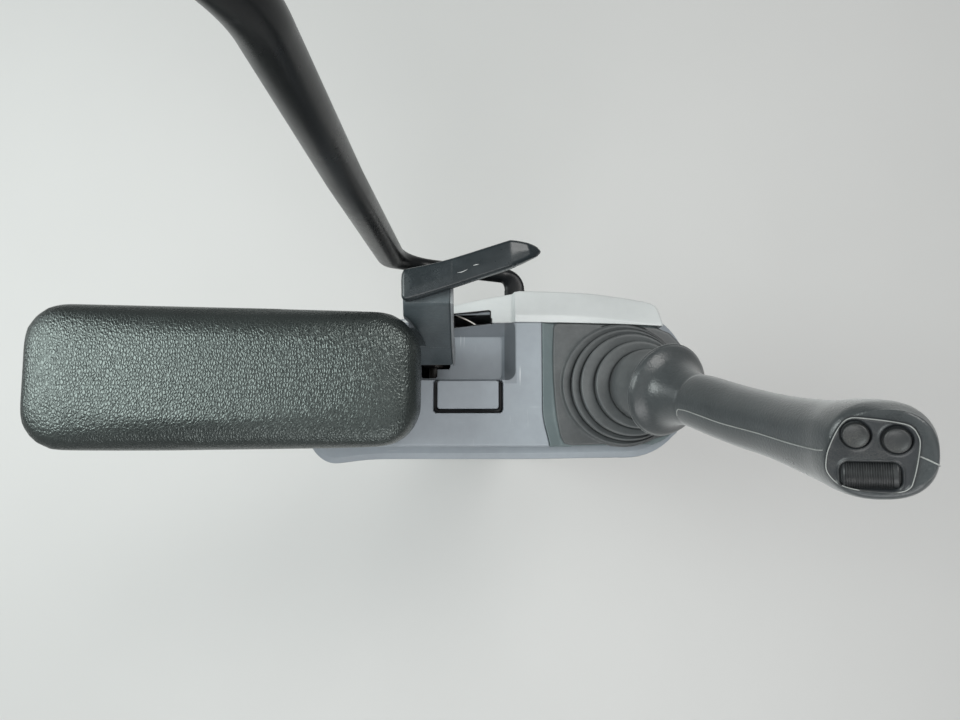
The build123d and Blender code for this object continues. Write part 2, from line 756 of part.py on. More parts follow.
def pilot_valve():
    top = STICK_Z - VALVE_TOP_DOWN
    body = slab(
        STICK_X - VALVE_LENGTH / 2,
        STICK_X + VALVE_LENGTH / 2,
        STICK_Y - VALVE_WIDTH / 2,
        STICK_Y + VALVE_WIDTH / 2,
        FRAME_TOP_Z,
        top,
        VALVE_CORNER,
    )
    for side in (-1, 1):
        a = STICK_X + side * YOKE_GAP / 2
        b = STICK_X + side * (YOKE_GAP / 2 + YOKE_THICK)
        x0, x1 = sorted((a, b))
        y0 = STICK_Y - YOKE_HALF
        y1 = STICK_Y + YOKE_HALF
        body += block(x0, x1, y0, y1, top, STICK_Z)
        body += rod_x(STICK_Y, STICK_Z, x0, x1, YOKE_HALF)
    reach = YOKE_GAP / 2 + YOKE_THICK + CUT
    body -= rod_x(STICK_Y, STICK_Z, STICK_X - reach, STICK_X + reach, CROSS_PIN_R + FIT)
    return body


def gimbal_cross():
    cross = Pos(STICK_X, STICK_Y, STICK_Z) * Box(CROSS_SIZE, CROSS_SIZE, CROSS_THICK)
    reach = YOKE_GAP / 2 + YOKE_THICK
    cross += rod_x(STICK_Y, STICK_Z, STICK_X - reach, STICK_X + reach, CROSS_PIN_R)
    cross += rod_y(STICK_X, STICK_Z, STICK_Y - reach, STICK_Y + reach, CROSS_PIN_R)
    return cross


def stick_rod():
    reach = YOKE_GAP / 2 + YOKE_THICK
    bridge_z = STICK_Z + BRIDGE_RISE
    clevis = block(
        STICK_X - YOKE_HALF,
        STICK_X + YOKE_HALF,
        STICK_Y - reach,
        STICK_Y + reach,
        bridge_z,
        bridge_z + BRIDGE_THICK,
    )
    for side in (-1, 1):
        y0, y1 = sorted((STICK_Y + side * YOKE_GAP / 2, STICK_Y + side * reach))
        x0 = STICK_X - YOKE_HALF
        x1 = STICK_X + YOKE_HALF
        clevis += block(x0, x1, y0, y1, STICK_Z, bridge_z)
        clevis += rod_y(STICK_X, STICK_Z, y0, y1, YOKE_HALF)
    clevis -= rod_y(STICK_X, STICK_Z, STICK_Y - reach - CUT, STICK_Y + reach + CUT, CROSS_PIN_R + FIT)
    start = stick_point(BRIDGE_RISE + BRIDGE_THICK / 2)
    foot = Plane(origin=start, z_dir=STICK_AXIS) * Circle(ROD_R)
    return clevis + extrude(foot, ROD_LENGTH - BRIDGE_RISE - BRIDGE_THICK / 2)


def rod_hole():
    """The bore in the collar and grip that the stick's rod fills."""
    mouth = Plane(origin=stick_point(BRIDGE_RISE), z_dir=STICK_AXIS) * Circle(ROD_R + FIT)
    return extrude(mouth, ROD_LENGTH - BRIDGE_RISE + GAP)


def boot_collar():
    offset, radius, height = BOOT_RINGS[-1]
    z0 = FLANGE_Z + height + GAP
    y = STICK_Y + STICK_AXIS[1] * (z0 - STICK_Z)
    collar = rod_z(STICK_X + offset, y, z0, z0 + SKIRT_R, COLLAR_R)
    collar -= half_space(stick_point(SKIRT_START), STICK_AXIS)
    return collar - rod_hole()


def grip_skirt():
    """The dome at the grip's foot, turned about the stick's axis."""
    rim = (SKIRT_R, SKIRT_RIM)
    neck = (SKIRT_NECK_R, SKIRT_HEIGHT)
    line = Polyline(neck, (0, SKIRT_HEIGHT), (0, 0), (SKIRT_R, 0), rim)
    curve = ThreePointArc(rim, (SKIRT_SHOULDER_R, SKIRT_SHOULDER), neck)
    turned = revolve(make_face(line + curve), Axis.Y)
    place = Plane(origin=stick_point(SKIRT_START), x_dir=(1, 0, -STICK_AXIS[0]), z_dir=STICK_AXIS)
    return place * (Rot(90, 0, 0) * turned)


def grip():
    rings = []
    last = len(GRIP_SECTIONS) - 1
    for i, (x, y, z, along, across, corner) in enumerate(GRIP_SECTIONS):
        below = GRIP_SECTIONS[max(i - 1, 0)]
        above = GRIP_SECTIONS[min(i + 1, last)]
        heading = tuple(above[k] - below[k] for k in range(3))
        centre = (STICK_X + x, STICK_Y + y, STICK_Z + z)
        plane = Plane(origin=centre, x_dir=(heading[2], 0, -heading[0]), z_dir=heading)
        rings.append(plane * RectangleRounded(along, across, corner))
    body = loft(rings)
    body += grip_skirt()
    body -= half_space(panel_point(-PANEL_SINK), PANEL_FACING)
    body -= roller_at(ROLLER_R + ROLLER_CLEAR, ROLLER_LENGTH + 2 * ROLLER_CLEAR)
    return body - rod_hole()


def panel_point(rise):
    """A point over the panel's centre, by its height above the panel's face."""
    length = math.hypot(*PANEL_FACING)
    base = (STICK_X, STICK_Y, STICK_Z)
    return tuple(b + p + rise * f / length for b, p, f in zip(base, PANEL_CENTRE, PANEL_FACING))


def panel_plane(rise):
    """The panel's plane: x along the console, y outboard."""
    fx, fy, fz = PANEL_FACING
    return Plane(origin=panel_point(rise), x_dir=(fz, 0, -fx), z_dir=PANEL_FACING)


def switch_panel():
    outline = panel_plane(-PANEL_SINK) * RectangleRounded(PANEL_LENGTH, PANEL_WIDTH, PANEL_CORNER)
    plate = extrude(outline, PANEL_THICK)
    return plate - roller_at(ROLLER_R + ROLLER_CLEAR, ROLLER_LENGTH + 2 * ROLLER_CLEAR)


def button(side):
    x = BUTTON_SHIFT + side * BUTTON_SPACING / 2
    centre = panel_plane(PANEL_THICK - PANEL_SINK) * Pos(x, BUTTON_OFFSET, 0)
    return centre * extrude(Circle(BUTTON_R), BUTTON_HEIGHT)


def roller_at(radius, length):
    """A thumb roller's cylinder, with its axis along the panel's length."""
    depth = PANEL_THICK - PANEL_SINK + ROLLER_PROUD - ROLLER_R
    return panel_plane(depth) * Pos(0, ROLLER_OFFSET, 0) * Rot(0, 90, 0) * Cylinder(radius, length)


def thumb_roller():
    return roller_at(ROLLER_R, ROLLER_LENGTH)


def lever_bracket():
    x0 = LEVER_X - BEARING_LENGTH / 2
    x1 = LEVER_X + BEARING_LENGTH / 2
    y0 = BEARING_IN_Y - BEARING_THICK
    y1 = BEARING_OUT_Y + BEARING_THICK
    foot = block(x0, x1, y0, y1, FRAME_TOP_Z, FRAME_TOP_Z + BEARING_FOOT)
    for a, b in ((y0, BEARING_IN_Y), (BEARING_OUT_Y, y1)):
        foot += block(x0, x1, a, b, FRAME_TOP_Z, LEVER_Z)
        foot += rod_y(LEVER_X, LEVER_Z, a, b, LEVER_BOSS_R)
    return foot - rod_y(LEVER_X, LEVER_Z, y0 - CUT, y1 + CUT, LEVER_SHAFT_R + FIT)


def lever_shaft():
    """The lever's steel: cross shaft, boss, shank and crank."""
    steel = rod_y(LEVER_X, LEVER_Z, LEVER_SHAFT_IN_Y, LEVER_SHAFT_OUT_Y, LEVER_SHAFT_R)
    steel += rod_y(LEVER_X, LEVER_Z, LEVER_BOSS_IN_Y, LEVER_BOSS_OUT_Y, LEVER_BOSS_R)
    steel += block(
        LEVER_X - SHANK_REAR,
        LEVER_X + SHANK_FRONT,
        SHANK_IN_Y,
        SHANK_OUT_Y,
        LEVER_Z,
        COVER_Z + POST_FOOT_UP,
    )
    y0 = CRANK_IN_Y
    y1 = CRANK_IN_Y + CRANK_THICK
    end_x = LEVER_X + CRANK_FORWARD
    end_z = LEVER_Z - CRANK_DOWN
    steel += rod_y(LEVER_X, LEVER_Z, y0, y1, CRANK_R)
    steel += rod_y(end_x, end_z, y0, y1, CRANK_R)
    steel += side_profile(
        [
            (LEVER_X, LEVER_Z + CRANK_R),
            (end_x, end_z + CRANK_R),
            (end_x, end_z - CRANK_R),
            (LEVER_X, LEVER_Z - CRANK_R),
        ],
        y0,
        y1,
    )
    middle = (y0 + y1) / 2
    half = CRANK_PIN_LENGTH / 2
    steel += rod_y(end_x, end_z, middle - half, middle + half, CRANK_PIN_R)
    return steel


def post_section(size, z):
    x0, x1, y0, y1 = size
    return Pos((x0 + x1) / 2, (y0 + y1) / 2, z) * RectangleRounded(x1 - x0, y1 - y0, ARM_EDGE)


def lever_post():
    foot = post_section(POST_FOOT, COVER_Z + POST_FOOT_UP)
    shoulder = post_section(POST_SHOULDER, COVER_Z + POST_SHOULDER_UP)
    waist = post_section(POST_WAIST, COVER_Z + POST_SHOULDER_UP)
    head = post_section(POST_HEAD, COVER_Z + POST_TOP_UP)
    upper = loft([waist, head], ruled=True)
    upper -= slab(
        PAD_REAR_X,
        PAD_FRONT_X + POST_RELIEF,
        PAD_IN_Y,
        PAD_OUT_Y - PAD_TAPER_OUT + POST_RELIEF,
        COVER_Z + POST_SHOULDER_UP - CUT,
        COVER_Z + POST_TOP_UP + CUT,
        PAD_CORNER + POST_RELIEF,
    )
    return loft([foot, shoulder], ruled=True) + upper


def lever_arm():
    z0 = COVER_Z + POST_TOP_UP
    arm = plan_profile(ARM_OUTLINE, z0, z0 + ARM_THICK)
    top = arm.faces().sort_by(Axis.Z)[-1]
    return chamfer(top.edges(), ARM_EDGE)


def armrest_bracket():
    y0 = REST_Y - BRACKET_WIDTH / 2
    y1 = REST_Y + BRACKET_WIDTH / 2
    t = BRACKET_THICK
    z0 = COVER_Z
    z1 = REST_PIVOT_Z - BRACKET_DROP
    x0 = BRACKET_FOOT_X
    x1 = x0 - BRACKET_FOOT_LENGTH
    x2 = x1 - BRACKET_SLOPE
    x3 = REST_PIVOT_X + REST_BARREL_R + t
    bend = t * math.tan(math.atan2(z1 - z0, BRACKET_SLOPE) / 2)
    points = [
        (x0, z0),
        (x1, z0),
        (x2, z1),
        (x3, z1),
        (x3, z1 + t),
        (x2 + bend, z1 + t),
        (x1 + bend, z0 + t),
        (x0, z0 + t),
    ]
    bracket = side_profile(points, y0, y1)
    for a, b in ((y0, y0 + REST_EAR_THICK), (y1 - REST_EAR_THICK, y1)):
        bracket += block(REST_PIVOT_X, x3 + t, a, b, z1, REST_PIVOT_Z)
        bracket += rod_y(REST_PIVOT_X, REST_PIVOT_Z, a, b, REST_EAR_R)
    return bracket - rod_y(REST_PIVOT_X, REST_PIVOT_Z, y0 - CUT, y1 + CUT, REST_PIN_R + FIT)


def armrest_pin():
    reach = BRACKET_WIDTH / 2
    pin = rod_y(REST_PIVOT_X, REST_PIVOT_Z, REST_Y - reach, REST_Y + reach, REST_PIN_R)
    for side in (-1, 1):
        a = REST_Y + side * reach
        y0, y1 = sorted((a, a + side * REST_PIN_R))
        pin += rod_y(REST_PIVOT_X, REST_PIVOT_Z, y0, y1, REST_BARREL_R)
    return pin


def armrest_stop():
    top = PAD_Z - PAD_PLATE_THICK - GAP
    return rod_z(STOP_X, REST_Y, COVER_Z + BRACKET_THICK, top, STOP_R)


def armrest_plate():
    z0 = PAD_Z - PAD_PLATE_THICK
    plate = slab(
        PAD_REAR_X + PAD_PLATE_REAR,
        PAD_FRONT_X - PAD_PLATE_INSET_X,
        PAD_IN_Y + PAD_PLATE_INSET_Y,
        PAD_OUT_Y - PAD_PLATE_INSET_Y,
        z0,
        PAD_Z,
        PAD_PLATE_CORNER,
    )
    half = BRACKET_WIDTH / 2 - REST_EAR_THICK - GAP
    y0 = REST_Y - half
    y1 = REST_Y + half
    plate += rod_y(REST_PIVOT_X, REST_PIVOT_Z, y0, y1, REST_BARREL_R)
    half = REST_WEB / 2
    plate += block(REST_PIVOT_X - half, REST_PIVOT_X + half, y0, y1, REST_PIVOT_Z, z0)
    return plate - rod_y(REST_PIVOT_X, REST_PIVOT_Z, y0 - CUT, y1 + CUT, REST_PIN_R + FIT)


def armrest_pad():
    outline = [
        (PAD_REAR_X, PAD_IN_Y),
        (PAD_FRONT_X, PAD_IN_Y + PAD_TAPER_IN),
        (PAD_FRONT_X, PAD_OUT_Y - PAD_TAPER_OUT),
        (PAD_REAR_X, PAD_OUT_Y),
    ]
    pad = plan_profile(outline, PAD_Z, PAD_Z + PAD_THICK)
    pad = fillet(pad.edges().filter_by(Axis.Z), PAD_CORNER)
    ends = pad.faces().sort_by(Axis.Z)
    return fillet(ends[0].edges() + ends[-1].edges(), PAD_EDGE)


def tab(length, width):
    """A level tab from the origin along X: a bar with a rounded end and its bolt hole."""
    reach = width / 2
    half = TAB_THICK / 2
    inner = length - reach
    plate = block(0, inner, -reach, reach, -half, half)
    plate += rod_z(inner, 0, -half, half, reach)
    return plate - rod_z(inner, 0, -half - CUT, half + CUT, TAB_HOLE_R)


def rail_heading():
    """The lower rod's plan direction, towards its foot."""
    dx = RAIL_FOOT_X - RAIL_X
    dy = RAIL_FOOT_Y - RAIL_Y
    length = math.hypot(dx, dy)
    return dx / length, dy / length


def narrowing_bend():
    """The lower bend: circles along a quarter turn, from the upright's radius to the rod's."""
    hx, hy = rail_heading()
    rings = []
    for i in range(RAIL_TAPER_STEPS):
        share = i / (RAIL_TAPER_STEPS - 1)
        turn = share * math.pi / 2
        out = RAIL_BEND_R * (1 - math.cos(turn))
        z = RAIL_LOW_Z + RAIL_BEND_R * (1 - math.sin(turn))
        facing = (hx * math.sin(turn), hy * math.sin(turn), -math.cos(turn))
        radius = RAIL_R + (RAIL_ROD_R - RAIL_R) * share
        plane = Plane(
            origin=(RAIL_X + hx * out, RAIL_Y + hy * out, z),
            x_dir=(-hy, hx, 0),
            z_dir=facing,
        )
        rings.append(plane * Circle(radius))
    return loft(rings)


def grab_rail():
    points = [
        (RAIL_X - RAIL_TOP_RUN, RAIL_Y, RAIL_TOP_Z),
        (RAIL_X, RAIL_Y, RAIL_TOP_Z - RAIL_TOP_RUN),
        (RAIL_X, RAIL_Y, RAIL_LOW_Z + RAIL_BEND_R),
    ]
    path = FilletPolyline(*points, radius=RAIL_BEND_R)
    rail = sweep(Plane(origin=path @ 0, z_dir=path % 0) * Circle(RAIL_R), path=path)
    rail += narrowing_bend()
    hx, hy = rail_heading()
    start = (RAIL_X + hx * RAIL_BEND_R, RAIL_Y + hy * RAIL_BEND_R, RAIL_LOW_Z)
    corner = (RAIL_FOOT_X, RAIL_FOOT_Y, RAIL_LOW_Z)
    end = (RAIL_FOOT_X, RAIL_END_Y, RAIL_LOW_Z)
    line = FilletPolyline(start, corner, end, radius=ROD_BEND_R)
    rail += sweep(Plane(origin=line @ 0, z_dir=line % 0) * Circle(RAIL_ROD_R), path=line)
    low_length = FOOT_TAB_START_Y - RAIL_BOLT_Y + FOOT_TAB_WIDTH / 2
    low_place = Pos(RAIL_FOOT_X, FOOT_TAB_START_Y, RAIL_LOW_Z) * Rot(0, 0, -90)
    rail += low_place * tab(low_length, FOOT_TAB_WIDTH)
    high_place = Pos(points[0][0] + RAIL_R, RAIL_Y, RAIL_TOP_Z) * Rot(90, 0, 0) * Rot(0, 180, 0)
    return rail + high_place * tab(TAB_LENGTH, TAB_WIDTH)


def outrigger():
    """The bracket that reaches from the saddle's side to the rail's lower tab."""
    x = RAIL_FOOT_X
    top = RAIL_LOW_Z - TAB_THICK / 2
    x0 = x - OUTRIGGER_LENGTH / 2
    x1 = x + OUTRIGGER_LENGTH / 2
    y0 = SADDLE_WIDTH / 2
    t = OUTRIGGER_THICK
    tip = OUTRIGGER_EDGE
    plan = [(x0, y0), (x1, y0), (x + tip, RAIL_BOLT_Y), (x - tip, RAIL_BOLT_Y)]
    arm = plan_profile(plan, top - t, top) + rod_z(x, RAIL_BOLT_Y, top - t, top, tip)
    arm += block(x0, x1, y0, y0 + t, top - t, top - t + OUTRIGGER_RISE)
    return arm - rod_z(x, RAIL_BOLT_Y, top - t - CUT, top + CUT, TAB_HOLE_R)


def rail_bolt():
    x = RAIL_FOOT_X
    y = RAIL_BOLT_Y
    low = RAIL_LOW_Z - TAB_THICK / 2 - OUTRIGGER_THICK
    high = RAIL_LOW_Z + TAB_THICK / 2
    bolt = rod_z(x, y, low, high, RAIL_BOLT_R)
    bolt += hex_z(x, y, high, high + HEX_HEAD_THICK, HEX_HEAD_R)
    return bolt + hex_z(x, y, low - HEX_HEAD_THICK, low, HEX_HEAD_R)


NODES = {
    "base_plate": base_plate,
    "pedestal": pedestal,
    "saddle": saddle,
    "pivot_bolt": pivot_bolt,
    "rest_bumpers": rest_bumpers,
    "outrigger": outrigger,
    "grab_rail": grab_rail,
    "rail_bolt": rail_bolt,
    "console_frame": console_frame,
    "lower_cover": lower_cover,
    "top_cover": top_cover,
    "lid": lid,
    "wing_trim": wing_trim,
    "boot_bezel": boot_bezel,
    "boot": boot,
    "pilot_valve": pilot_valve,
    "lever_bracket": lever_bracket,
    "armrest_bracket": armrest_bracket,
    "armrest_pin": armrest_pin,
    "armrest_stop": armrest_stop,
    "armrest_plate": armrest_plate,
    "armrest_pad": armrest_pad,
    "lever_shaft": lever_shaft,
    "lever_post": lever_post,
    "lever_arm": lever_arm,
    "gimbal_cross": gimbal_cross,
    "stick_rod": stick_rod,
    "boot_collar": boot_collar,
    "grip": grip,
    "switch_panel": switch_panel,
    "button_rear": lambda: button(-1),
    "button_front": lambda: button(1),
    "thumb_roller": thumb_roller,
}

os.makedirs("parts", exist_ok=True)
for name, build in NODES.items():
    export_step(build(), f"parts/{name}.step")
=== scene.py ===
"""Looks of an excavator's left-hand control console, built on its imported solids.

Lengths are millimetres in the part's frame, and MM turns them into metres: X points to the front, Y to
the outboard side and Z up. Lamps and the scales of patterns are in metres. Each surface is worked out as
whole arrays of points.
"""

import json
import math

import bmesh
import bpy
import numpy as np
from mathutils import Matrix, Vector


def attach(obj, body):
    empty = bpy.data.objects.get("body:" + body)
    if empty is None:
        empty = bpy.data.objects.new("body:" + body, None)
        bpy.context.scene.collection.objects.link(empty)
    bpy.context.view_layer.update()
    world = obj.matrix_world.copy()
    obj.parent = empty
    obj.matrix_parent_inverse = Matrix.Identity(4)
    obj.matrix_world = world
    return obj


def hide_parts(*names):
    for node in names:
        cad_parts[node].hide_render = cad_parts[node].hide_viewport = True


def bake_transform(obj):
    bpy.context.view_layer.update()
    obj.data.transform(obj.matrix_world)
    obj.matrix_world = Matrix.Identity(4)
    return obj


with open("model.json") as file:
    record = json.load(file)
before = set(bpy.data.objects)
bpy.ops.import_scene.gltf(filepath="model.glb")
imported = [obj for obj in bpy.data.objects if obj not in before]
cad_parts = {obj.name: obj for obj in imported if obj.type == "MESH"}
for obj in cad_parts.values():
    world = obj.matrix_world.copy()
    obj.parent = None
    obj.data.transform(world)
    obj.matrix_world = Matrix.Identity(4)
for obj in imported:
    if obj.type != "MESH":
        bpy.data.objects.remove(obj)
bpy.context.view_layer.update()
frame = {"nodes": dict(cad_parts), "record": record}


def unit(vectors):
    """The same directions at length one."""
    vectors = np.asarray(vectors, float)
    return vectors / np.linalg.norm(vectors, axis=-1, keepdims=True)


# Lengths, places and directions shared by several pieces
MM = 0.001
FULL_TURN = 2 * math.pi
UP = np.array([0.0, 0.0, 1.0])
SLOPE_STEP = 0.01
SNAP_SHARE = 0.62
INSIDE = -0.02
COVER_REAR, COVER_IN, COVER_OUT = -166.0, -50.0, 60.8
COVER_Z = 585.0
COVER_FOOT_Z = 568.1
RIM_Z = 568.0
RECESS_Z = 562.0
BEZEL_Z = 581.0
BEZEL_GAP = 0.4
FLANGE_Z = 584.0
BOOT_CENTRE = np.array([114.0, 4.8])
STICK = np.array([112.0, 2.0, 572.0])
STICK_LEAN = np.tan(np.radians([17.1, -2.9]))
PANEL_AT = STICK + (79.0, -50.0, 287.0)
PANEL_OUT = unit((-0.42, -0.22, 0.88))
PANEL_U = unit((0.88, 0.0, 0.42))
PANEL_V = np.cross(PANEL_OUT, PANEL_U)
SMOOTH_ROUND = 2.0


# Tools for meshes


def make_object(name, points, faces, sharp_deg=35.0, closed=True):
    """A smooth-shaded mesh object from points in millimetres. A closed one has its faces turned outwards,
    and edges over an angle are kept sharp."""
    mesh = bpy.data.meshes.new(name)
    mesh.from_pydata((np.asarray(points, float) * MM).tolist(), [], [list(f) for f in faces])
    mesh.validate()
    if closed:
        work = bmesh.new()
        work.from_mesh(mesh)
        bmesh.ops.recalc_face_normals(work, faces=work.faces)
        work.to_mesh(mesh)
        work.free()
    mesh.polygons.foreach_set("use_smooth", [True] * len(mesh.polygons))
    mesh.set_sharp_from_angle(angle=math.radians(sharp_deg))
    obj = bpy.data.objects.new(name, mesh)
    bpy.context.scene.collection.objects.link(obj)
    return obj


def grid_faces(rows, cols, wrap_rows=False, wrap_cols=False):
    """Quads of a grid of rows by cols points, joined round where it wraps."""
    i = np.arange(rows if wrap_rows else rows - 1)[:, None]
    j = np.arange(cols if wrap_cols else cols - 1)[None, :]
    i2 = (i + 1) % rows
    j2 = (j + 1) % cols
    corners = (i * cols + j, i2 * cols + j, i2 * cols + j2, i * cols + j2)
    return np.stack([c + 0 * (i + j) for c in corners], -1).reshape(-1, 4)


def surface(name, points, wrap_rows=False, caps=(True, True), sharp_deg=35.0):
    """A closed or tube-like mesh from a grid of points: rows along it, columns round it, and ends that
    close on the middle of their row."""
    rows, cols = points.shape[:2]
    flat = points.reshape(-1, 3)
    faces = grid_faces(rows, cols, wrap_rows, True).tolist()
    for wanted, row in zip(caps, (0, rows - 1)):
        if wanted and not wrap_rows:
            ring = row * cols + np.arange(cols)
            faces += [[int(a), int(b), len(flat)] for a, b in zip(ring, np.roll(ring, -1))]
            flat = np.concatenate([flat, points[row].mean(0)[None]])
    return make_object(name, flat, faces, sharp_deg)


def slopes(distance, x, y):
    """A distance at each point, and how fast it grows along x and along y."""
    d = distance(x, y)
    return d, (distance(x + SLOPE_STEP, y) - d) / SLOPE_STEP, (distance(x, y + SLOPE_STEP) - d) / SLOPE_STEP


def walled_sheet(name, x, y, height, bottom, holes, place=None, sharp_deg=35.0):
    """A thin closed body over a grid: its top is z = height(x, y), its underside z = bottom(x, y), and an
    upright wall joins them at every border. A hole is a signed distance, negative inside it: grid points
    near its edge move onto the edge, and the quads inside are left out."""
    reach = SNAP_SHARE * np.hypot(np.diff(x, axis=0), np.diff(y, axis=0)).mean()
    for hole in holes:
        for _ in range(2):
            d, along_x, along_y = slopes(hole, x, y)
            shift = np.where(np.abs(d) < reach, d, 0)
            x, y = x - shift * along_x, y - shift * along_y
    top = np.stack([x, y, height(x, y)], -1).reshape(-1, 3)
    quads = grid_faces(*x.shape)
    middle = top[quads].mean(1)
    keep = np.ones(len(quads), bool)
    for hole in holes:
        keep &= ~(hole(x, y).reshape(-1) < INSIDE)[quads].any(1)
        keep &= hole(middle[:, 0], middle[:, 1]) > 0
    quads = quads[keep]
    edges = np.concatenate([quads[:, [k, (k + 1) % 4]] for k in range(4)])
    key = edges.min(1).astype(np.int64) * len(top) + edges.max(1)
    _, first, count = np.unique(key, return_index=True, return_counts=True)
    a, b = edges[first[count == 1]].T
    low = np.column_stack([top[:, :2], bottom(top[:, 0], top[:, 1])])
    walls = np.stack([b, a, a + len(top), b + len(top)], 1)
    faces = np.concatenate([quads, quads[:, ::-1] + len(top), walls])
    kept, index = np.unique(faces, return_inverse=True)
    points = np.concatenate([top, low])[kept]
    if place is not None:
        points = place(points)
    return make_object(name, points, index.reshape(faces.shape), sharp_deg)


def outlined_sheet(name, box, step, outline, height, bottom, holes=(), place=None, sharp_deg=35.0):
    """A walled sheet inside an outline, from an even grid over a box with x along its rows."""
    x0, x1, y0, y1 = box
    xs = np.linspace(x0, x1, int(round((x1 - x0) / step)) + 1)
    ys = np.linspace(y0, y1, int(round((y1 - y0) / step)) + 1)
    x, y = np.meshgrid(xs, ys, indexing="ij")
    return walled_sheet(name, x, y, height, bottom, (outside(outline), *holes), place, sharp_deg)


def outside(outline):
    """The hole that leaves out all that lies outside an outline."""
    return lambda x, y: -outline(x, y)


def at_height(loop, z):
    """A flat loop of points carried to a height, or each point to its own."""
    return np.column_stack([loop, np.full(len(loop), z)])


def rounded_loop(box, rear, front, corner_steps, side_steps):
    """Points round a rectangle with rounded corners, anticlockwise: quarter circles and straight runs."""
    x0, x1, y0, y1 = box
    corners = ((x1, y0, front, -90), (x1, y1, front, 0), (x0, y1, rear, 90), (x0, y0, rear, 180))
    arcs = []
    for x, y, r, start in corners:
        turn = np.radians(np.linspace(start, start + 90, corner_steps))
        cx = x - math.copysign(r, x - (x0 + x1) / 2)
        cy = y - math.copysign(r, y - (y0 + y1) / 2)
        arcs.append(np.stack([cx + r * np.cos(turn), cy + r * np.sin(turn)], 1))
    t = np.linspace(0, 1, side_steps + 2)[1:-1, None]
    runs = []
    for arc, after in zip(arcs, arcs[1:] + arcs[:1]):
        runs += [arc, arc[-1] * (1 - t) + after[0] * t]
    return np.concatenate(runs)


def rounded_box(box, rear, front=None):
    """The signed distance of x, y to a rectangle with rounded corners, negative inside: the usual clamp of
    the distances to its sides."""
    x0, x1, y0, y1 = box
    cx, cy = (x0 + x1) / 2, (y0 + y1) / 2

    def distance(x, y):
        r = np.where(x < cx, rear, rear if front is None else front)
        qx = np.abs(x - cx) - (x1 - x0) / 2 + r
        qy = np.abs(y - cy) - (y1 - y0) / 2 + r
        beyond = np.hypot(np.maximum(qx, 0), np.maximum(qy, 0))
        return beyond + np.minimum(np.maximum(qx, qy), 0) - r

    return distance


def straight_runs(corners):
    """The signed distance of x, y to a closed outline of straight runs, negative inside: the nearest run's
    distance, with its sign from how many runs a line to one side crosses."""
    a = np.asarray(corners, float)[None]
    run = np.roll(a, -1, 1) - a
    b = a + run
    level = run[..., 1] + (run[..., 1] == 0) * 1e-9

    def distance(x, y):
        p = np.stack([x, y], -1).reshape(-1, 1, 2)
        t = np.clip(((p - a) * run).sum(-1) / (run**2).sum(-1), 0, 1)
        nearest = np.linalg.norm(p - a - t[..., None] * run, axis=-1).min(1)
        spans = (a[..., 1] > p[..., 1]) != (b[..., 1] > p[..., 1])
        crossed = spans & (p[..., 0] < run[..., 0] * (p[..., 1] - a[..., 1]) / level + a[..., 0])
        return np.where(crossed.sum(1) % 2 == 1, -nearest, nearest).reshape(np.shape(x))

    return distance


def soft_max(a, b, k):
    """The larger of two values with their crossing rounded over k."""
    h = np.clip(0.5 + (a - b) / (2 * k), 0, 1)
    return b + (a - b) * h + k * h * (1 - h)


def soft_min(a, b, k):
    """The smaller of two values with their crossing rounded over k."""
    return -soft_max(-a, -b, k)


def smooth_step(t):
    """Rises from 0 to 1 with level ends."""
    t = np.clip(t, 0, 1)
    return t * t * (3 - 2 * t)


def ridge(distance, width):
    """A bell-shaped ridge of height 1 along distance 0."""
    return np.exp(-((distance / width) ** 2))


def edge_round(distance, radius):
    """How far a quarter-round edge has fallen at a signed distance to the outline."""
    t = np.clip((distance + radius) / radius, 0, 0.995)
    return radius * (1 - np.sqrt(1 - t**2))


def joined_runs(ends, counts):
    """Even runs of numbers from each end to the next, with the ends they share once."""
    runs = [np.linspace(a, b, count)[1:] for a, b, count in zip(ends, ends[1:], counts)]
    return np.concatenate([ends[:1], *runs])


def softened(points, times=2):
    """Rows of numbers with their corners cut at a quarter and three quarters of each run."""
    p = np.asarray(points, float)
    for _ in range(times):
        q = np.empty((2 * len(p), p.shape[1]))
        q[0], q[-1] = p[0], p[-1]
        q[1:-1:2] = 0.75 * p[:-1] + 0.25 * p[1:]
        q[2:-1:2] = 0.25 * p[:-1] + 0.75 * p[1:]
        p = q
    return p


def evened(loop, steps, times, own_weight=1):
    """A closed loop with steps points on each run, whose corners are rounded by averages of neighbours."""
    loop = np.array(loop, float)
    ends = np.roll(loop, -1, 0)
    loop = np.concatenate([np.linspace(a, b, steps, endpoint=False) for a, b in zip(loop, ends)])
    for _ in range(times):
        loop = (own_weight * loop + np.roll(loop, 1, 0) + np.roll(loop, -1, 0)) / (own_weight + 2)
    return loop


def smooth_curve(knots, count, closed=False):
    """Points on a Catmull-Rom curve through rows of numbers, evenly spread over the knots."""
    k = np.asarray(knots, float)
    n = len(k)
    spans = n if closed else n - 1
    t = np.linspace(0, spans, count, endpoint=not closed)
    i = np.minimum(t.astype(int), spans - 1)
    f = (t - i)[:, None]
    if closed:
        a, b, c, d = [k[(i + s) % n] for s in (-1, 0, 1, 2)]
    else:
        padded = np.concatenate([[2 * k[0] - k[1]], k, [2 * k[-1] - k[-2]]])
        a, b, c, d = [padded[i + s] for s in range(4)]
    line = 2 * b + (c - a) * f
    return 0.5 * (line + (2 * a - 5 * b + 4 * c - d) * f**2 + (3 * b - a - 3 * c + d) * f**3)


def superellipse(power, around):
    """Factors c and s round the curve |c|^power + |s|^power = 1, with a row for each power."""
    turn = np.linspace(0, FULL_TURN, around, endpoint=False)
    return [np.sign(f) * np.abs(f) ** (2 / power[:, None]) for f in (np.cos(turn), np.sin(turn))]


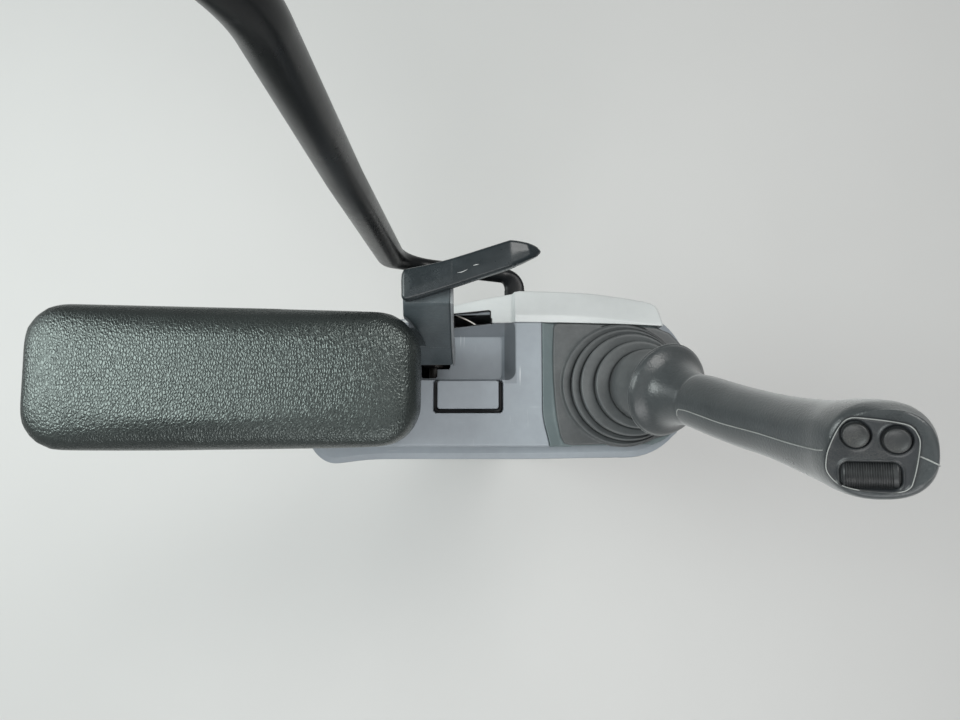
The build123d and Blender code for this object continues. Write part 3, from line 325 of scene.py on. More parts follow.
def swept(name, path, wide, thick, power, around, up=UP, closed=False):
    """A superellipse section carried along a path: |a/wide|^power + |b/thick|^power = 1, with its
    half sizes and power given once or at each point of the path."""
    heading = unit(np.roll(path, -1, 0) - np.roll(path, 1, 0) if closed else np.gradient(path, axis=0))
    side = unit(np.cross(up, heading))
    over = np.cross(heading, side)
    wide, thick, power = [np.broadcast_to(value, len(path)) for value in (wide, thick, power)]
    c, s = superellipse(power, around)
    across = side[:, None] * (c * wide[:, None])[..., None]
    points = path[:, None] + across + over[:, None] * (s * thick[:, None])[..., None]
    return surface(name, points, wrap_rows=closed)


def turned(name, profile, centre, axis, around, sharp_deg):
    """Rows of radius and height turned about an axis through a point, closed on the axis at both ends."""
    first = unit(np.cross(axis, (0.0, 1.0, 0.0)))
    turn = np.linspace(0, FULL_TURN, around, endpoint=False)[:, None]
    ring = np.cos(turn) * first + np.sin(turn) * np.cross(axis, first)
    points = centre + profile[:, :1, None] * ring + profile[:, 1:, None] * axis
    return surface(name, points, sharp_deg=sharp_deg)


def lofted(name, sections, side_steps=6, adjust=lambda ring: ring):
    """A solid through level rectangles with rounded corners: x0, x1, y0, y1, z and corner radius each."""
    rings = []
    for *box, z, corner in sections:
        rings.append(at_height(adjust(rounded_loop(box, corner, corner, 6, side_steps)), z))
    return surface(name, np.stack(rings))


# Tools for materials

SOCKET_KINDS = {"Colour": "Color", "Dust": "Color", "Worn": "Color", "Normal": "Vector"}


def feed(tree, sockets, values):
    """Links or sets sockets, found by name or number. A value of None leaves its socket alone."""
    for key, value in values.items():
        if isinstance(value, bpy.types.NodeSocket):
            tree.links.new(value, sockets[key])
        elif value is not None:
            sockets[key].default_value = value


def node(tree, kind, values, **settings):
    """The outputs of a new node, with its settings made and its inputs linked or set."""
    made = tree.nodes.new(kind)
    for key, value in settings.items():
        setattr(made, key, value)
    feed(tree, made.inputs, values)
    return made.outputs


def use_group(tree, group, values):
    """The outputs of a node group placed in a material."""
    return node(tree, "ShaderNodeGroup", values, node_tree=group)


def math_node(tree, operation, a, b, clamp=False):
    """The result of one sum."""
    return node(tree, "ShaderNodeMath", {0: a, 1: b}, operation=operation, use_clamp=clamp)[0]


def product(tree, first, *others):
    """Values from 0 to 1 multiplied together."""
    for value in others:
        first = math_node(tree, "MULTIPLY", first, value, True)
    return first


def remap(tree, value, low, high, to_low=0.0, to_high=1.0):
    """A value carried from one range to another and held there."""
    return node(tree, "ShaderNodeMapRange", {0: value, 1: low, 2: high, 3: to_low, 4: to_high})[0]


def vector_node(tree, operation, values):
    """The outputs of one vector sum."""
    return node(tree, "ShaderNodeVectorMath", values, operation=operation)


def blend_colours(tree, factor, a, b, mode="MIX"):
    """A mix of two colours."""
    return node(tree, "ShaderNodeMix", {0: factor, 6: a, 7: b}, data_type="RGBA", blend_type=mode)[2]


def noise(tree, where, scale, detail, rough=0.5, output=0):
    """A noise texture's value, or its colour."""
    values = {"Vector": where, "Scale": scale, "Detail": detail, "Roughness": rough}
    return node(tree, "ShaderNodeTexNoise", values)[output]


def object_coords(tree):
    """Places in the part's frame."""
    return tree.nodes.new("ShaderNodeTexCoord").outputs["Object"]


def own_normal(tree):
    """The way that each face looks."""
    return tree.nodes.new("ShaderNodeNewGeometry").outputs["Normal"]


def new_group(name, inputs, outputs):
    """An empty node group and its inputs. A socket holds a number unless its title stands for more."""
    group = bpy.data.node_groups.new(name, "ShaderNodeTree")
    for in_out, titles in (("INPUT", inputs), ("OUTPUT", outputs)):
        for title in titles.split():
            kind = "NodeSocket" + SOCKET_KINDS.get(title, "Float")
            group.interface.new_socket(title, in_out=in_out, socket_type=kind)
    return group, group.nodes.new("NodeGroupInput").outputs


def put_out(group, **results):
    """Links a group's results to its outputs of the same names."""
    feed(group, group.nodes.new("NodeGroupOutput").inputs, results)
    return group


def mottle_group():
    """Slow changes of tone: two noises of different size shift a colour's brightness."""
    group, given = new_group("Slow tone change", "Colour Scale Amount", "Colour Cloud")
    where = object_coords(group)
    broad = noise(group, where, given["Scale"], 4.0)
    fine = noise(group, where, math_node(group, "MULTIPLY", given["Scale"], 9.0), 3.0)
    cloud = remap(group, math_node(group, "ADD", broad, product(group, fine, 0.5)), 0.45, 1.05)
    least = math_node(group, "SUBTRACT", 1.0, given["Amount"])
    most = math_node(group, "ADD", 1.0, given["Amount"])
    gain = remap(group, cloud, 0.0, 1.0, least, most)
    shifted = vector_node(group, "SCALE", {0: given["Colour"], "Scale": gain})[0]
    return put_out(group, Colour=shifted, Cloud=cloud)


def dust_group():
    """Pale dust in patches and specks: two noises times how far the face looks up."""
    group, given = new_group("Settled dust", "Colour Dust Amount Scale", "Colour Mask")
    where = object_coords(group)
    patches = remap(group, noise(group, where, given["Scale"], 8.0, 0.65), 0.45, 0.75)
    specks = remap(group, noise(group, where, 1400.0, 2.0), 0.35, 0.75)
    upward = node(group, "ShaderNodeSeparateXYZ", {0: own_normal(group)})[2]
    mask = product(group, patches, remap(group, upward, 0.1, 0.9), specks, given["Amount"])
    return put_out(group, Colour=blend_colours(group, mask, given["Colour"], given["Dust"]), Mask=mask)


def wear_group():
    """Worn edges: where a rounded copy of the normal leaves the face's own normal, broken up by noise."""
    group, given = new_group("Worn edges", "Colour Worn Amount", "Colour Mask Normal")
    rounded = node(group, "ShaderNodeBevel", {"Radius": 0.0009}, samples=4)[0]
    agreement = vector_node(group, "DOT_PRODUCT", {0: rounded, 1: own_normal(group)})["Value"]
    broken = remap(group, noise(group, object_coords(group), 160.0, 6.0), 0.4, 0.62)
    mask = product(group, remap(group, agreement, 0.97, 0.75), broken, given["Amount"])
    colour = blend_colours(group, mask, given["Colour"], given["Worn"])
    return put_out(group, Colour=colour, Mask=mask, Normal=rounded)


def grain_group():
    """The fine spark-eroded grain of moulded plastic: a cell pattern and a noise as one bump."""
    group, given = new_group("Moulded grain", "Scale Depth Normal", "Normal")
    where = object_coords(group)
    cell = {"Vector": where, "Scale": given["Scale"]}
    cells = node(group, "ShaderNodeTexVoronoi", cell, feature="SMOOTH_F1")[0]
    height = math_node(group, "ADD", cells, noise(group, where, given["Scale"], 3.0))
    bump = {"Height": height, "Strength": given["Depth"], "Distance": 0.0002, "Normal": given["Normal"]}
    return put_out(group, Normal=node(group, "ShaderNodeBump", bump)[0])


def pebble_group():
    """Vinyl's pebble grain: raised cells of about two millimetres with narrow creases, bent by a noise."""
    group, given = new_group("Pebble grain", "Scale Depth", "Normal Crease")
    where = object_coords(group)
    bend = noise(group, where, 260.0, 2.0, output="Color")
    offset = vector_node(group, "SCALE", {0: bend, "Scale": 0.0022})[0]
    moved = vector_node(group, "ADD", {0: where, 1: offset})[0]
    stretched = node(group, "ShaderNodeMapping", {"Vector": moved, "Scale": (1.25, 0.8, 1.0)})[0]
    cell = {"Vector": stretched, "Scale": given["Scale"], "Randomness": 0.9}
    border = node(group, "ShaderNodeTexVoronoi", cell, feature="DISTANCE_TO_EDGE")[0]
    pores = product(group, noise(group, where, 1500.0, 3.0), 0.10)
    height = math_node(group, "ADD", remap(group, border, 0.0, 0.32), pores)
    bump = {"Height": height, "Strength": given["Depth"], "Distance": 0.0006}
    crease = remap(group, border, 0.12, 0.0)
    return put_out(group, Normal=node(group, "ShaderNodeBump", bump)[0], Crease=crease)


def scratch_group():
    """Short pale scratches: stretched noise in two directions, kept only at its peaks and in patches."""
    group, given = new_group("Scratches", "Amount", "Mask")
    where = object_coords(group)
    lines = []
    for spin, stretch in ((0.5, (14.0, 420.0, 60.0)), (-0.9, (420.0, 22.0, 60.0))):
        placed = {"Vector": where, "Rotation": (0.0, 0.0, spin), "Scale": stretch}
        streaks = noise(group, node(group, "ShaderNodeMapping", placed)[0], 1.0, 2.0)
        lines.append(remap(group, streaks, 0.70, 0.76))
    shown = remap(group, noise(group, where, 30.0, 2.0), 0.5, 0.62)
    both = math_node(group, "MAXIMUM", *lines)
    return put_out(group, Mask=product(group, both, shown, given["Amount"]))


MOTTLE = mottle_group()
DUST = dust_group()
WEAR = wear_group()
GRAIN = grain_group()
PEBBLE = pebble_group()
SCRATCH = scratch_group()
BARE_METAL = 0.4
ROUGH_SWING = 0.06
DUST_SCALE = 35.0


def new_material(name):
    """A new material, its node tree and its shader's inputs."""
    material = bpy.data.materials.new(name)
    material.use_nodes = True
    tree = material.node_tree
    return material, tree, tree.nodes["Principled BSDF"].inputs


def finish(name, colour, rough, metal=0.0, tone=(0.08, 22.0), dust=0.0, dust_colour=(0.42, 0.39, 0.34),
           wear=0.0, worn=None, grain=(0.25, 900.0), scratches=0.0, sheen=0.0, specular=0.5, edges=False):
    """One finish: a mottled colour with dust, worn edges, scratches and a moulded grain as asked. Tone and
    grain are an amount and a scale. A worn colour brighter than BARE_METAL also shines as metal does."""
    material, tree, shader = new_material(name)
    mottled = use_group(tree, MOTTLE, {"Colour": (*colour, 1.0), "Scale": tone[1], "Amount": tone[0]})
    paint = mottled["Colour"]
    roughness = remap(tree, mottled["Cloud"], 0.0, 1.0, rough - ROUGH_SWING, rough + ROUGH_SWING)
    normal = None
    if worn or edges:
        values = {"Colour": paint, "Worn": (*(worn or colour), 1.0), "Amount": wear}
        worn_out = use_group(tree, WEAR, values)
        normal = worn_out["Normal"]
    if worn:
        paint = worn_out["Colour"]
        metal = worn_out["Mask"] if max(worn) > BARE_METAL else metal
    if scratches:
        lines = use_group(tree, SCRATCH, {"Amount": scratches})["Mask"]
        pale = [min(1.0, c * 3 + 0.12) for c in colour]
        paint = blend_colours(tree, lines, paint, (*pale, 1.0))
    if dust:
        values = {"Colour": paint, "Dust": (*dust_colour, 1.0), "Amount": dust, "Scale": DUST_SCALE}
        dusty = use_group(tree, DUST, values)
        paint = dusty["Colour"]
        roughness = math_node(tree, "ADD", roughness, product(tree, dusty["Mask"], 0.3), True)
    if grain[0]:
        normal = own_normal(tree) if normal is None else normal
        values = {"Scale": grain[1], "Depth": grain[0], "Normal": normal}
        normal = use_group(tree, GRAIN, values)["Normal"]
    feed(tree, shader, {"Base Color": paint, "Roughness": roughness, "Normal": normal, "Metallic": metal,
                        "Sheen Weight": sheen, "Specular IOR Level": specular})
    return material


def painted_shade_box(material, low, high, shade):
    """Painted shade in one part of a piece: the colour is multiplied by a shade inside a box with soft
    sides.
    """
    tree = material.node_tree
    base = tree.nodes["Principled BSDF"].inputs["Base Color"]
    place = node(tree, "ShaderNodeSeparateXYZ", {0: object_coords(tree)})
    edges = []
    for axis in range(3):
        for side, limit in ((0.5, low[axis]), (-0.5, high[axis])):
            edges.append(remap(tree, place[axis], (limit - side) * MM, (limit + side) * MM))
    colour = base.links[0].from_socket
    shaded = blend_colours(tree, product(tree, *edges), colour, (shade, shade, shade, 1.0), "MULTIPLY")
    tree.links.new(shaded, base)


def vinyl_finish():
    """The armrest's pebble-grained vinyl: creases coloured darker as painted shade, polished cell tops and
    a broad worn sheen.
    """
    material, tree, shader = new_material("Pebbled vinyl")
    mottled = use_group(tree, MOTTLE, {"Colour": (0.013, 0.016, 0.0155, 1.0), "Scale": 9.0, "Amount": 0.3})
    pebbles = use_group(tree, PEBBLE, {"Scale": 400.0, "Depth": 0.34})
    # Painted shade: the grain's creases take a darker colour than the cell tops.
    paint = blend_colours(tree, pebbles["Crease"], mottled["Colour"], (0.006, 0.007, 0.007, 1.0))
    settled = {"Colour": paint, "Dust": (0.16, 0.17, 0.165, 1.0), "Amount": 0.08, "Scale": 18.0}
    rough = remap(tree, mottled["Cloud"], 0.0, 1.0, 0.20, 0.30)
    rough = math_node(tree, "ADD", rough, product(tree, pebbles["Crease"], 0.25), True)
    feed(tree, shader, {"Base Color": use_group(tree, DUST, settled)["Colour"], "Roughness": rough,
                        "Normal": pebbles["Normal"], "Specular IOR Level": 0.85,
                        "Specular Tint": (0.88, 1.0, 0.96, 1.0)})
    return material


FINISHES = {
    "stand_paint": finish(
        "Satin black paint", (0.035, 0.037, 0.040), 0.42, tone=(0.15, 22.0), dust=0.35,
        wear=0.55, worn=(0.45, 0.44, 0.42), grain=(0.12, 420.0)),
    "rail_paint": finish(
        "Rail black paint", (0.006, 0.007, 0.008), 0.30, tone=(0.12, 12.0), dust=0.03,
        wear=0.2, worn=(0.20, 0.19, 0.18), grain=(0.06, 300.0), scratches=0.15, specular=0.3),
    "zinc_steel": finish(
        "Zinc-plated steel", (0.55, 0.54, 0.50), 0.34, metal=1.0, tone=(0.12, 22.0), dust=0.15,
        grain=(0.10, 600.0), edges=True),
    "rubber": finish(
        "Moulded rubber", (0.022, 0.022, 0.022), 0.75, tone=(0.10, 22.0), dust=0.25,
        grain=(0.30, 700.0), edges=True),
    "grey_plastic": finish(
        "Grey cover plastic", (0.290, 0.322, 0.352), 0.44, tone=(0.09, 14.0), dust=0.12,
        dust_colour=(0.44, 0.46, 0.47), wear=0.6, worn=(0.46, 0.50, 0.53), grain=(0.16, 1100.0),
        scratches=0.35),
    "light_plastic": finish(
        "Light wing plastic", (0.62, 0.645, 0.642), 0.42, tone=(0.05, 14.0), dust=0.08,
        dust_colour=(0.66, 0.66, 0.64), wear=0.6, worn=(0.75, 0.77, 0.78), grain=(0.12, 1100.0),
        scratches=0.2),
    "dark_plastic": finish(
        "Dark bezel plastic", (0.125, 0.160, 0.166), 0.42, dust=0.12, wear=0.7,
        worn=(0.34, 0.39, 0.40), grain=(0.14, 1100.0)),
    "boot_rubber": finish(
        "Boot rubber", (0.076, 0.082, 0.084), 0.44, tone=(0.22, 30.0), dust=0.30,
        dust_colour=(0.24, 0.245, 0.24), wear=0.9, worn=(0.34, 0.345, 0.34), grain=(0.22, 1000.0)),
    "valve_iron": finish(
        "Cast iron", (0.06, 0.06, 0.058), 0.7, tone=(0.15, 22.0), dust=0.2, grain=(0.5, 260.0),
        edges=True),
    "armrest_vinyl": vinyl_finish(),
    "lever_plastic": finish(
        "Lever black plastic", (0.012, 0.018, 0.021), 0.30, tone=(0.14, 18.0), dust=0.26,
        dust_colour=(0.17, 0.20, 0.215), wear=0.5, worn=(0.12, 0.14, 0.15), grain=(0.10, 1300.0),
        scratches=0.5),
    "grip_plastic": finish(
        "Soft grip plastic", (0.034, 0.040, 0.042), 0.31, tone=(0.22, 26.0), dust=0.20,
        dust_colour=(0.18, 0.19, 0.19), wear=0.35, worn=(0.18, 0.19, 0.19), grain=(0.5, 700.0),
        sheen=0.3),
    "panel_plastic": finish(
        "Panel black plastic", (0.022, 0.025, 0.028), 0.36, tone=(0.10, 60.0), dust=0.30,
        dust_colour=(0.20, 0.19, 0.17), wear=0.5, worn=(0.20, 0.20, 0.18), grain=(0.10, 1500.0)),
}
# The post's finish: the lever's plastic with real scuffs, dust and scratches, on a lighter base colour that
# is painted light for its lit inboard face.
POST_SCUFFED_PAINTED_LIGHT_FINISH = finish(
    "Scuffed lever plastic, painted lighter as lit", (0.060, 0.076, 0.083), 0.34, tone=(0.30, 30.0), dust=0.40,
    dust_colour=(0.20, 0.225, 0.235), wear=0.8, worn=(0.34, 0.37, 0.38), grain=(0.5, 700.0),
    scratches=0.8)
# The raised strip's pale colour is a painted highlight down the post's front edge, and it also has real
# edge wear.
STRIP_HIGHLIGHT_AND_WEAR_FINISH = finish(
    "Lever edge, painted highlight and wear", (0.20, 0.215, 0.225), 0.34, tone=(0.25, 60.0), dust=0.2, wear=0.8,
    worn=(0.42, 0.44, 0.45), grain=(0.1, 900.0))
# Near black: the slot's liner, and the painted shade of the lid's groove.
BLACK_LINER_AND_SHADE_FINISH = finish("Black liner and painted groove shade", (0.006, 0.006, 0.007), 0.6, tone=(0.1, 22.0), grain=(0.0, 1.0))
ROLLER_FINISH = finish(
    "Roller plastic", (0.020, 0.022, 0.023), 0.40, tone=(0.15, 120.0), dust=0.12,
    dust_colour=(0.17, 0.17, 0.165), grain=(0.0, 1.0))
BUTTON_FINISH = finish(
    "Button plastic", (0.026, 0.028, 0.029), 0.40, tone=(0.10, 120.0), dust=0.30,
    dust_colour=(0.25, 0.24, 0.21), wear=0.7, worn=(0.32, 0.31, 0.28), grain=(0.12, 1600.0))
# A pale colour that is a painted highlight along thin ridges: the grip's parting line and the switch
# panel's lip.
RIDGE_HIGHLIGHT_FINISH = finish("Ridge with painted highlight", (0.27, 0.28, 0.27), 0.45, tone=(0.2, 140.0), grain=(0.0, 1.0))
SCRATCH_FINISH = finish("Bare scratch", (0.55, 0.56, 0.56), 0.5, tone=(0.2, 200.0), grain=(0.0, 1.0))
# The lever's shaft is coloured near black as painted shade for the cavity under the post where it stands.
SHAFT_PAINTED_SHADE_FINISH = finish(
    "Dark steel as painted shade", (0.030, 0.028, 0.026), 0.45, tone=(0.25, 60.0), dust=0.2, grain=(0.1, 600.0),
    edges=True)
WELD_FINISH = finish(
    "Painted weld", (0.040, 0.042, 0.044), 0.40, tone=(0.2, 60.0), dust=0.25, grain=(0.2, 500.0))
# The cover's grey finish with painted shade: the recess's front wall (0.44) and its outboard wall (0.66)
# are darkened where shadow falls.
COVER_PAINTED_SHADE_FINISH = FINISHES["grey_plastic"].copy()
painted_shade_box(COVER_PAINTED_SHADE_FINISH, (10.4, 6.0, 540.0), (21.0, 64.5, 584.7), 0.44)
painted_shade_box(COVER_PAINTED_SHADE_FINISH, (-80.0, 50.2, 540.0), (10.4, 64.5, 584.7), 0.66)


def dress(obj, slot, body, nodes=(), material=None):
    """Gives a piece its finish, that of its slot unless one is given, its body unless a blend moves it, and
    hides the CAD nodes that it stands for."""
    obj.data.materials.clear()
    obj.data.materials.append(material or FINISHES[slot])
    if body:
        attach(obj, body)
    if nodes:
        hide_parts(*nodes)


SLOT_OF = {part["node"]: part["material_slot"] for part in frame["record"]["subparts"]}
for node_name, cad_object in frame["nodes"].items():
    cad_object.data.materials.clear()
    plain = FINISHES[SLOT_OF[node_name]]
    # The lever's shaft takes the near-black finish that paints the cavity's shade.
    cad_object.data.materials.append(SHAFT_PAINTED_SHADE_FINISH if node_name == "lever_shaft" else plain)


# Covers

SLOT_EDGE = [
    (-42, 56.6), (-2.5, 60.2), (-0.8, 61.6), (-0.8, 65.3), (-1.8, 66.4), (-1.8, 73.2), (-3.4, 74.2),
    (-39.5, 70.2), (-42, 68.2),
]
WING_EDGE = [
    (-165, 62.6), (-110, 62.8), (-84, 63.4), (-68, 71.0), (-60, 74.8), (-35, 79.6), (-8, 86), (21.5, 91.8),
    (27.5, 92.4), (60, 91.4), (92.8, 89.3), (129.2, 83.8), (144.6, 80.0), (149.6, 74.7), (151.2, 67.3),
    (152.4, 58.4),
]
WING_REAR, WING_TURN, WING_FRONT = -165, 140, 151.9
WING_SLOPE = 0.62
RECESS_FLOOR = rounded_box((-74.5, 8.0, 11.0, 50.3), 5.0, 2.2)
RECESS_RIM = rounded_box((-76.0, 20.0, 9.0, 64.0), 6.0, 8.0)
slot_distance = straight_runs(SLOT_EDGE)


def cover_front(y):
    """The top cover's front edge: straight, then swinging forward towards the inboard side."""
    return 43.5 + 6.5 * smooth_step((-y - 14) / 40) ** 1.3


def recess_height(x, y):
    """The lever's recess: it rises from the floor outline to the rim outline in proportion to the
    distances to the two, and is level outside and inside them."""
    inner, outer = RECESS_FLOOR(x, y), RECESS_RIM(x, y)
    t = inner / np.maximum(inner - outer, 1e-3)
    t = soft_max(np.where(outer > 0, 1.0, t), 0.0, 0.025)
    return RECESS_Z + (COVER_Z - RECESS_Z) * np.minimum(soft_min(t, 1.0, 0.035), 1.0)


def top_cover():
    """The grey top cover: level, with a recess for the lever, a pocket for the lid, a shallow facet at the
    inboard front corner and rounded edges."""
    y = np.linspace(COVER_IN, COVER_OUT, 140)[None, :]
    x = COVER_REAR + np.linspace(0, 1, 262)[:, None] * (cover_front(y) - COVER_REAR)
    outline = rounded_box((COVER_REAR, 80.0, COVER_IN, COVER_OUT), 16.0, 2.0)
    pocket = rounded_box((-53.2, 8.4, -19.9, 9.2), 3.0)
    shaft = rounded_box((-66.0, -51.4, 12.2, 40.0), 2.5)
    crank = rounded_box((-66.0, -39.5, 20.4, 40.0), 2.5)

    def height(x, y):
        z = recess_height(x, y) - edge_round(outline(x, y), 2.6) * (y < 50)
        z = z - edge_round(x - cover_front(y), 0.9) - edge_round(y - COVER_OUT, 0.7) * (x > 19)
        facet = ((x - 24) * 25 - (y + 38) * 17) / math.hypot(25, 17)
        z = z - 0.055 * soft_max(facet, 0, 1.5)
        return np.where((pocket(x, y) < -0.01) & (y <= 9.0), np.minimum(z, 573.0), z)

    def bottom(x, y):
        edge = np.maximum(outline(x, y), x - cover_front(y)) > -0.45
        return np.where(edge, COVER_FOOT_Z, height(x, y) - 2.6)

    holes = (outside(outline), slot_distance, lambda x, y: np.minimum(shaft(x, y), crank(x, y)))
    cover = walled_sheet("top_cover_shell", x, y + 0 * x, height, bottom, holes)
    # Its finish carries painted shade on the recess's front and outboard walls.
    dress(cover, "grey_plastic", "console", ["top_cover"], COVER_PAINTED_SHADE_FINISH)


def lid():
    """The small lid beside the recess: a level plate with softly rounded edges."""
    outline = rounded_box((-49.8, 4.9, -16.5, 8.6), 2.5)

    def height(x, y):
        return COVER_Z - edge_round(outline(x, y), 0.9)

    box = (-50.4, 5.5, -17.1, 9.2)
    plate = outlined_sheet("lid_plate", box, 0.55, outline, height, lambda x, y: 573.4 + 0 * x)
    dress(plate, "grey_plastic", "console", ["lid"])


def wing_inner(x):
    """The wing's inner edge, beside the covers."""
    return np.interp(x, [-165, 20, 57, 113, 153], [61.2, 61.2, 60.8, 59.2, 57.2])


def wing_rear_height(y):
    """The wing's plain slope behind its step, 5 under the ledge at its inner edge."""
    return COVER_Z - 5.0 - WING_SLOPE * (y - 61.2)


def wing():
    """The pale wing: a level ledge beside the covers that falls away outboard, and behind its step a plain
    slope that lies lower, between an inner edge and a curved outer edge."""
    outer = smooth_curve(WING_EDGE, 520)
    place = np.linspace(0, 1, len(outer))
    u = joined_runs((WING_REAR, 12, 26, WING_FRONT), (150, 46, 120))
    at_turn = np.interp(WING_TURN, outer[:, 0], place)
    order = np.interp(u, outer[:, 0], place)
    order = np.where(u > WING_TURN, np.interp(u, [WING_TURN, WING_FRONT], [at_turn, 1]), order)
    ox, oy = [np.interp(order, place, axis)[:, None] for axis in outer.T]
    v = joined_runs((0, 0.1, 0.88, 1), (8, 34, 12))
    x = u[:, None] * (1 - v) + ox * v
    y = wing_inner(x) * (1 - v) + oy * v
    outline = straight_runs(np.concatenate([outer[::4], [(152.2, 50.0), (-165.5, 50.0)]]))

    def height(x, y):
        ledge = np.interp(x, [20, 60, 90, 125, 153], [67.6, 67.0, 65.2, 61.2, 57.6])
        front = COVER_Z - WING_SLOPE * soft_max(y - ledge, 0, 0.8)
        rear = wing_rear_height(y)
        share = smooth_step((x - 17.6) / 2.6)
        return rear + (front - rear) * share - edge_round(outline(x, y), 2.2)

    def bottom(x, y):
        level = 568.2 - 23.0 * np.clip((y - 76.6) / 0.5, 0, 1)
        rim = np.maximum(outline(x, y), wing_inner(x) - y) > -0.35
        return np.where(rim, level, np.maximum(height(x, y) - 3.0, level))

    shell = walled_sheet("wing_shell", x, y, height, bottom, (slot_distance,))
    dress(shell, "light_plastic", "console", ["wing_trim"])


def bezel():
    """The dark bezel: a band that falls from the top cover to a level frame round the boot's flange."""
    front = 174.0
    v = np.linspace(0, 1, 110)[None, :]
    start = cover_front(COVER_IN + (COVER_OUT - COVER_IN) * v) + BEZEL_GAP
    x = start + np.linspace(0, 1, 150)[:, None] ** 1.15 * (front - start)
    inboard = np.interp(x, [44, 111, front], [COVER_IN, -48.6, -47.0])
    y = inboard + v * (np.minimum(wing_inner(x) - BEZEL_GAP, COVER_OUT) - inboard)
    outline = rounded_box((0.0, front, COVER_IN, COVER_OUT), 46.0)

    def behind(x, y):
        return cover_front(y) + BEZEL_GAP - x

    def height(x, y):
        t = -behind(x, y) / np.interp(y, [-50, 0, 60], [9.6, 9.0, 9.2])
        z = np.minimum(BEZEL_Z + 4.0 * soft_max(1 - t, 0, 0.06), COVER_Z)
        return z - edge_round(outline(x, y), 1.6) - edge_round(behind(x, y), 0.8)

    def bottom(x, y):
        edge = np.maximum(outline(x, y), behind(x, y)) > -0.6
        return np.where(edge, COVER_FOOT_Z, height(x, y) - 2.5)

    def boot_hole(x, y):
        return np.hypot(x - BOOT_CENTRE[0], y - BOOT_CENTRE[1]) - 50.0

    band = walled_sheet("bezel_frame", x, y, height, bottom, (outside(outline), boot_hole))
    dress(band, "dark_plastic", "console", ["boot_bezel"])


def housing():
    """The housing: loops round a rectangle with rounded corners, each at its inset and height, for the
    rim, the sloping ledge, the leaning wall, the foot and the inner wall. Its rear outboard side narrows
    upwards, its inboard side swells to the rear, and its rim is notched for the lever's slot."""

    def lean(z):
        return 10.0 * (RIM_Z - z) / 117.0

    sections = [(6.2, RIM_Z), (5.4, 567.8), (4.8, 567.3), (1.6, 565.6), (0.7, 564.8), (0.35, 563.4)]
    sections += [(lean(z), z) for z in np.linspace(561.0, 452.6, 16)]
    sections += [(10.2, 451.6), (11.0, 451.1), (12.4, 451.1), (12.8, 452.0)]
    sections += [(lean(z) + 3.0, z) for z in np.linspace(456.0, 564.4, 8)]
    rings = []
    for inset, z in sections:
        box = (-170 + inset, 178 - inset, -62 + inset, 76 - inset)
        ring = rounded_loop(box, 28 - inset, 58 - inset, 16, 60)
        x, y = ring.T.copy()
        narrow = smooth_step((-56 - x) / 28) * smooth_step((y - 2) / 54) * smooth_step((z - 520) / 44)
        swell = ridge(x + 148, 26) * (y < -20) * smooth_step((z - 500) / 68)
        bow = smooth_step((x - 10) / 120) * (y < -40) * smooth_step((z - 540) / 28)
        ring[:, 1] += 1.6 * bow - 4.2 * swell - 8.6 * narrow
        rings.append(at_height(ring, z))
    inner = rounded_loop((-154, 162, -46, 60), 20, 42, 16, 60)
    x, y = inner.T.copy()
    inner[:, 1] += 13.6 * smooth_step((x + 50) / 6) * smooth_step((8 - x) / 6) * (y > 50)
    rings += [at_height(inner, 565.0), at_height(inner, RIM_Z)]
    shell = surface("housing_shell", np.stack(rings), wrap_rows=True, sharp_deg=28)
    dress(shell, "grey_plastic", "console", ["lower_cover"])


# Boot and grip

FLANGE_EDGE = [
    (54.2, 56.5), (53.3, 32), (53.5, 10), (54.6, -9), (56.4, -26), (59.3, -41), (62.2, -46.8),
    (67.5, -48.6), (90, -48.0), (112, -46.9), (136, -44.2), (154, -39.8), (165.5, -32.5), (171, -20),
    (172.4, 5), (171.6, 28), (167.5, 41), (158, 51), (146, 56.0), (113, 58.3), (80, 59.7), (57.5, 60.1),
    (54.9, 59.2),
]
# Each ring's shift to the front, edge radius and height over the flange
BOOT_RINGS = [
    (2.0, 53.0, 6.0), (5.0, 48.5, 14.0), (7.5, 44.0, 22.0), (11.7, 37.0, 32.0), (16.2, 30.0, 48.0),
]
BOOT_NECK = [
    (29.9, 40.0), (29.2, 46.5), (28.0, 50.0), (26.0, 54.0), (24.2, 59.0), (23.6, 64.0), (20.0, 65.5),
]
BOOT_FOOT = [(1.2, 581.05), (0.15, 581.4), (0.0, 582.6), (0.35, 583.5), (1.2, 583.95), (2.6, 584.0)]
NECK_START = 48.0


def boot_profile():
    """Rows of radius, height over the flange, middle x and middle y for the boot's rings: each ring rises
    to a rounded edge, slopes in over its top and dips into a valley before the next one."""

    def middle(shift, top):
        return STICK[0] + shift, BOOT_CENTRE[1] + (STICK[1] - BOOT_CENTRE[1]) * top / NECK_START

    rows = []
    foot, spread = 0.0, 1.6
    for (shift, radius, top), after in zip(BOOT_RINGS, BOOT_RINGS[1:] + [None]):
        for wider, z in ((spread, foot), (-0.5, foot + 1.4)):
            rows.append((radius + wider, z, *middle(shift, top)))
        if after:
            for wider, lift in ((0.1, -2.4), (-0.1, -0.6), (-1.5, 0.1)):
                rows.append((radius + wider, top + lift, *middle(shift, top)))
            for wider, lift in ((1.9, -0.7), (0.5, -1.3), (-0.4, -2.9)):
                rows.append((after[1] + wider, top + lift, *middle(after[0], after[2])))
        foot, spread = top - 2.6, -1.0
    for radius, rise in BOOT_NECK:
        rows.append((radius, rise, *(STICK[:2] + (16.2, 0.0) + STICK_LEAN * max(rise - NECK_START, 0))))
    return softened(rows)


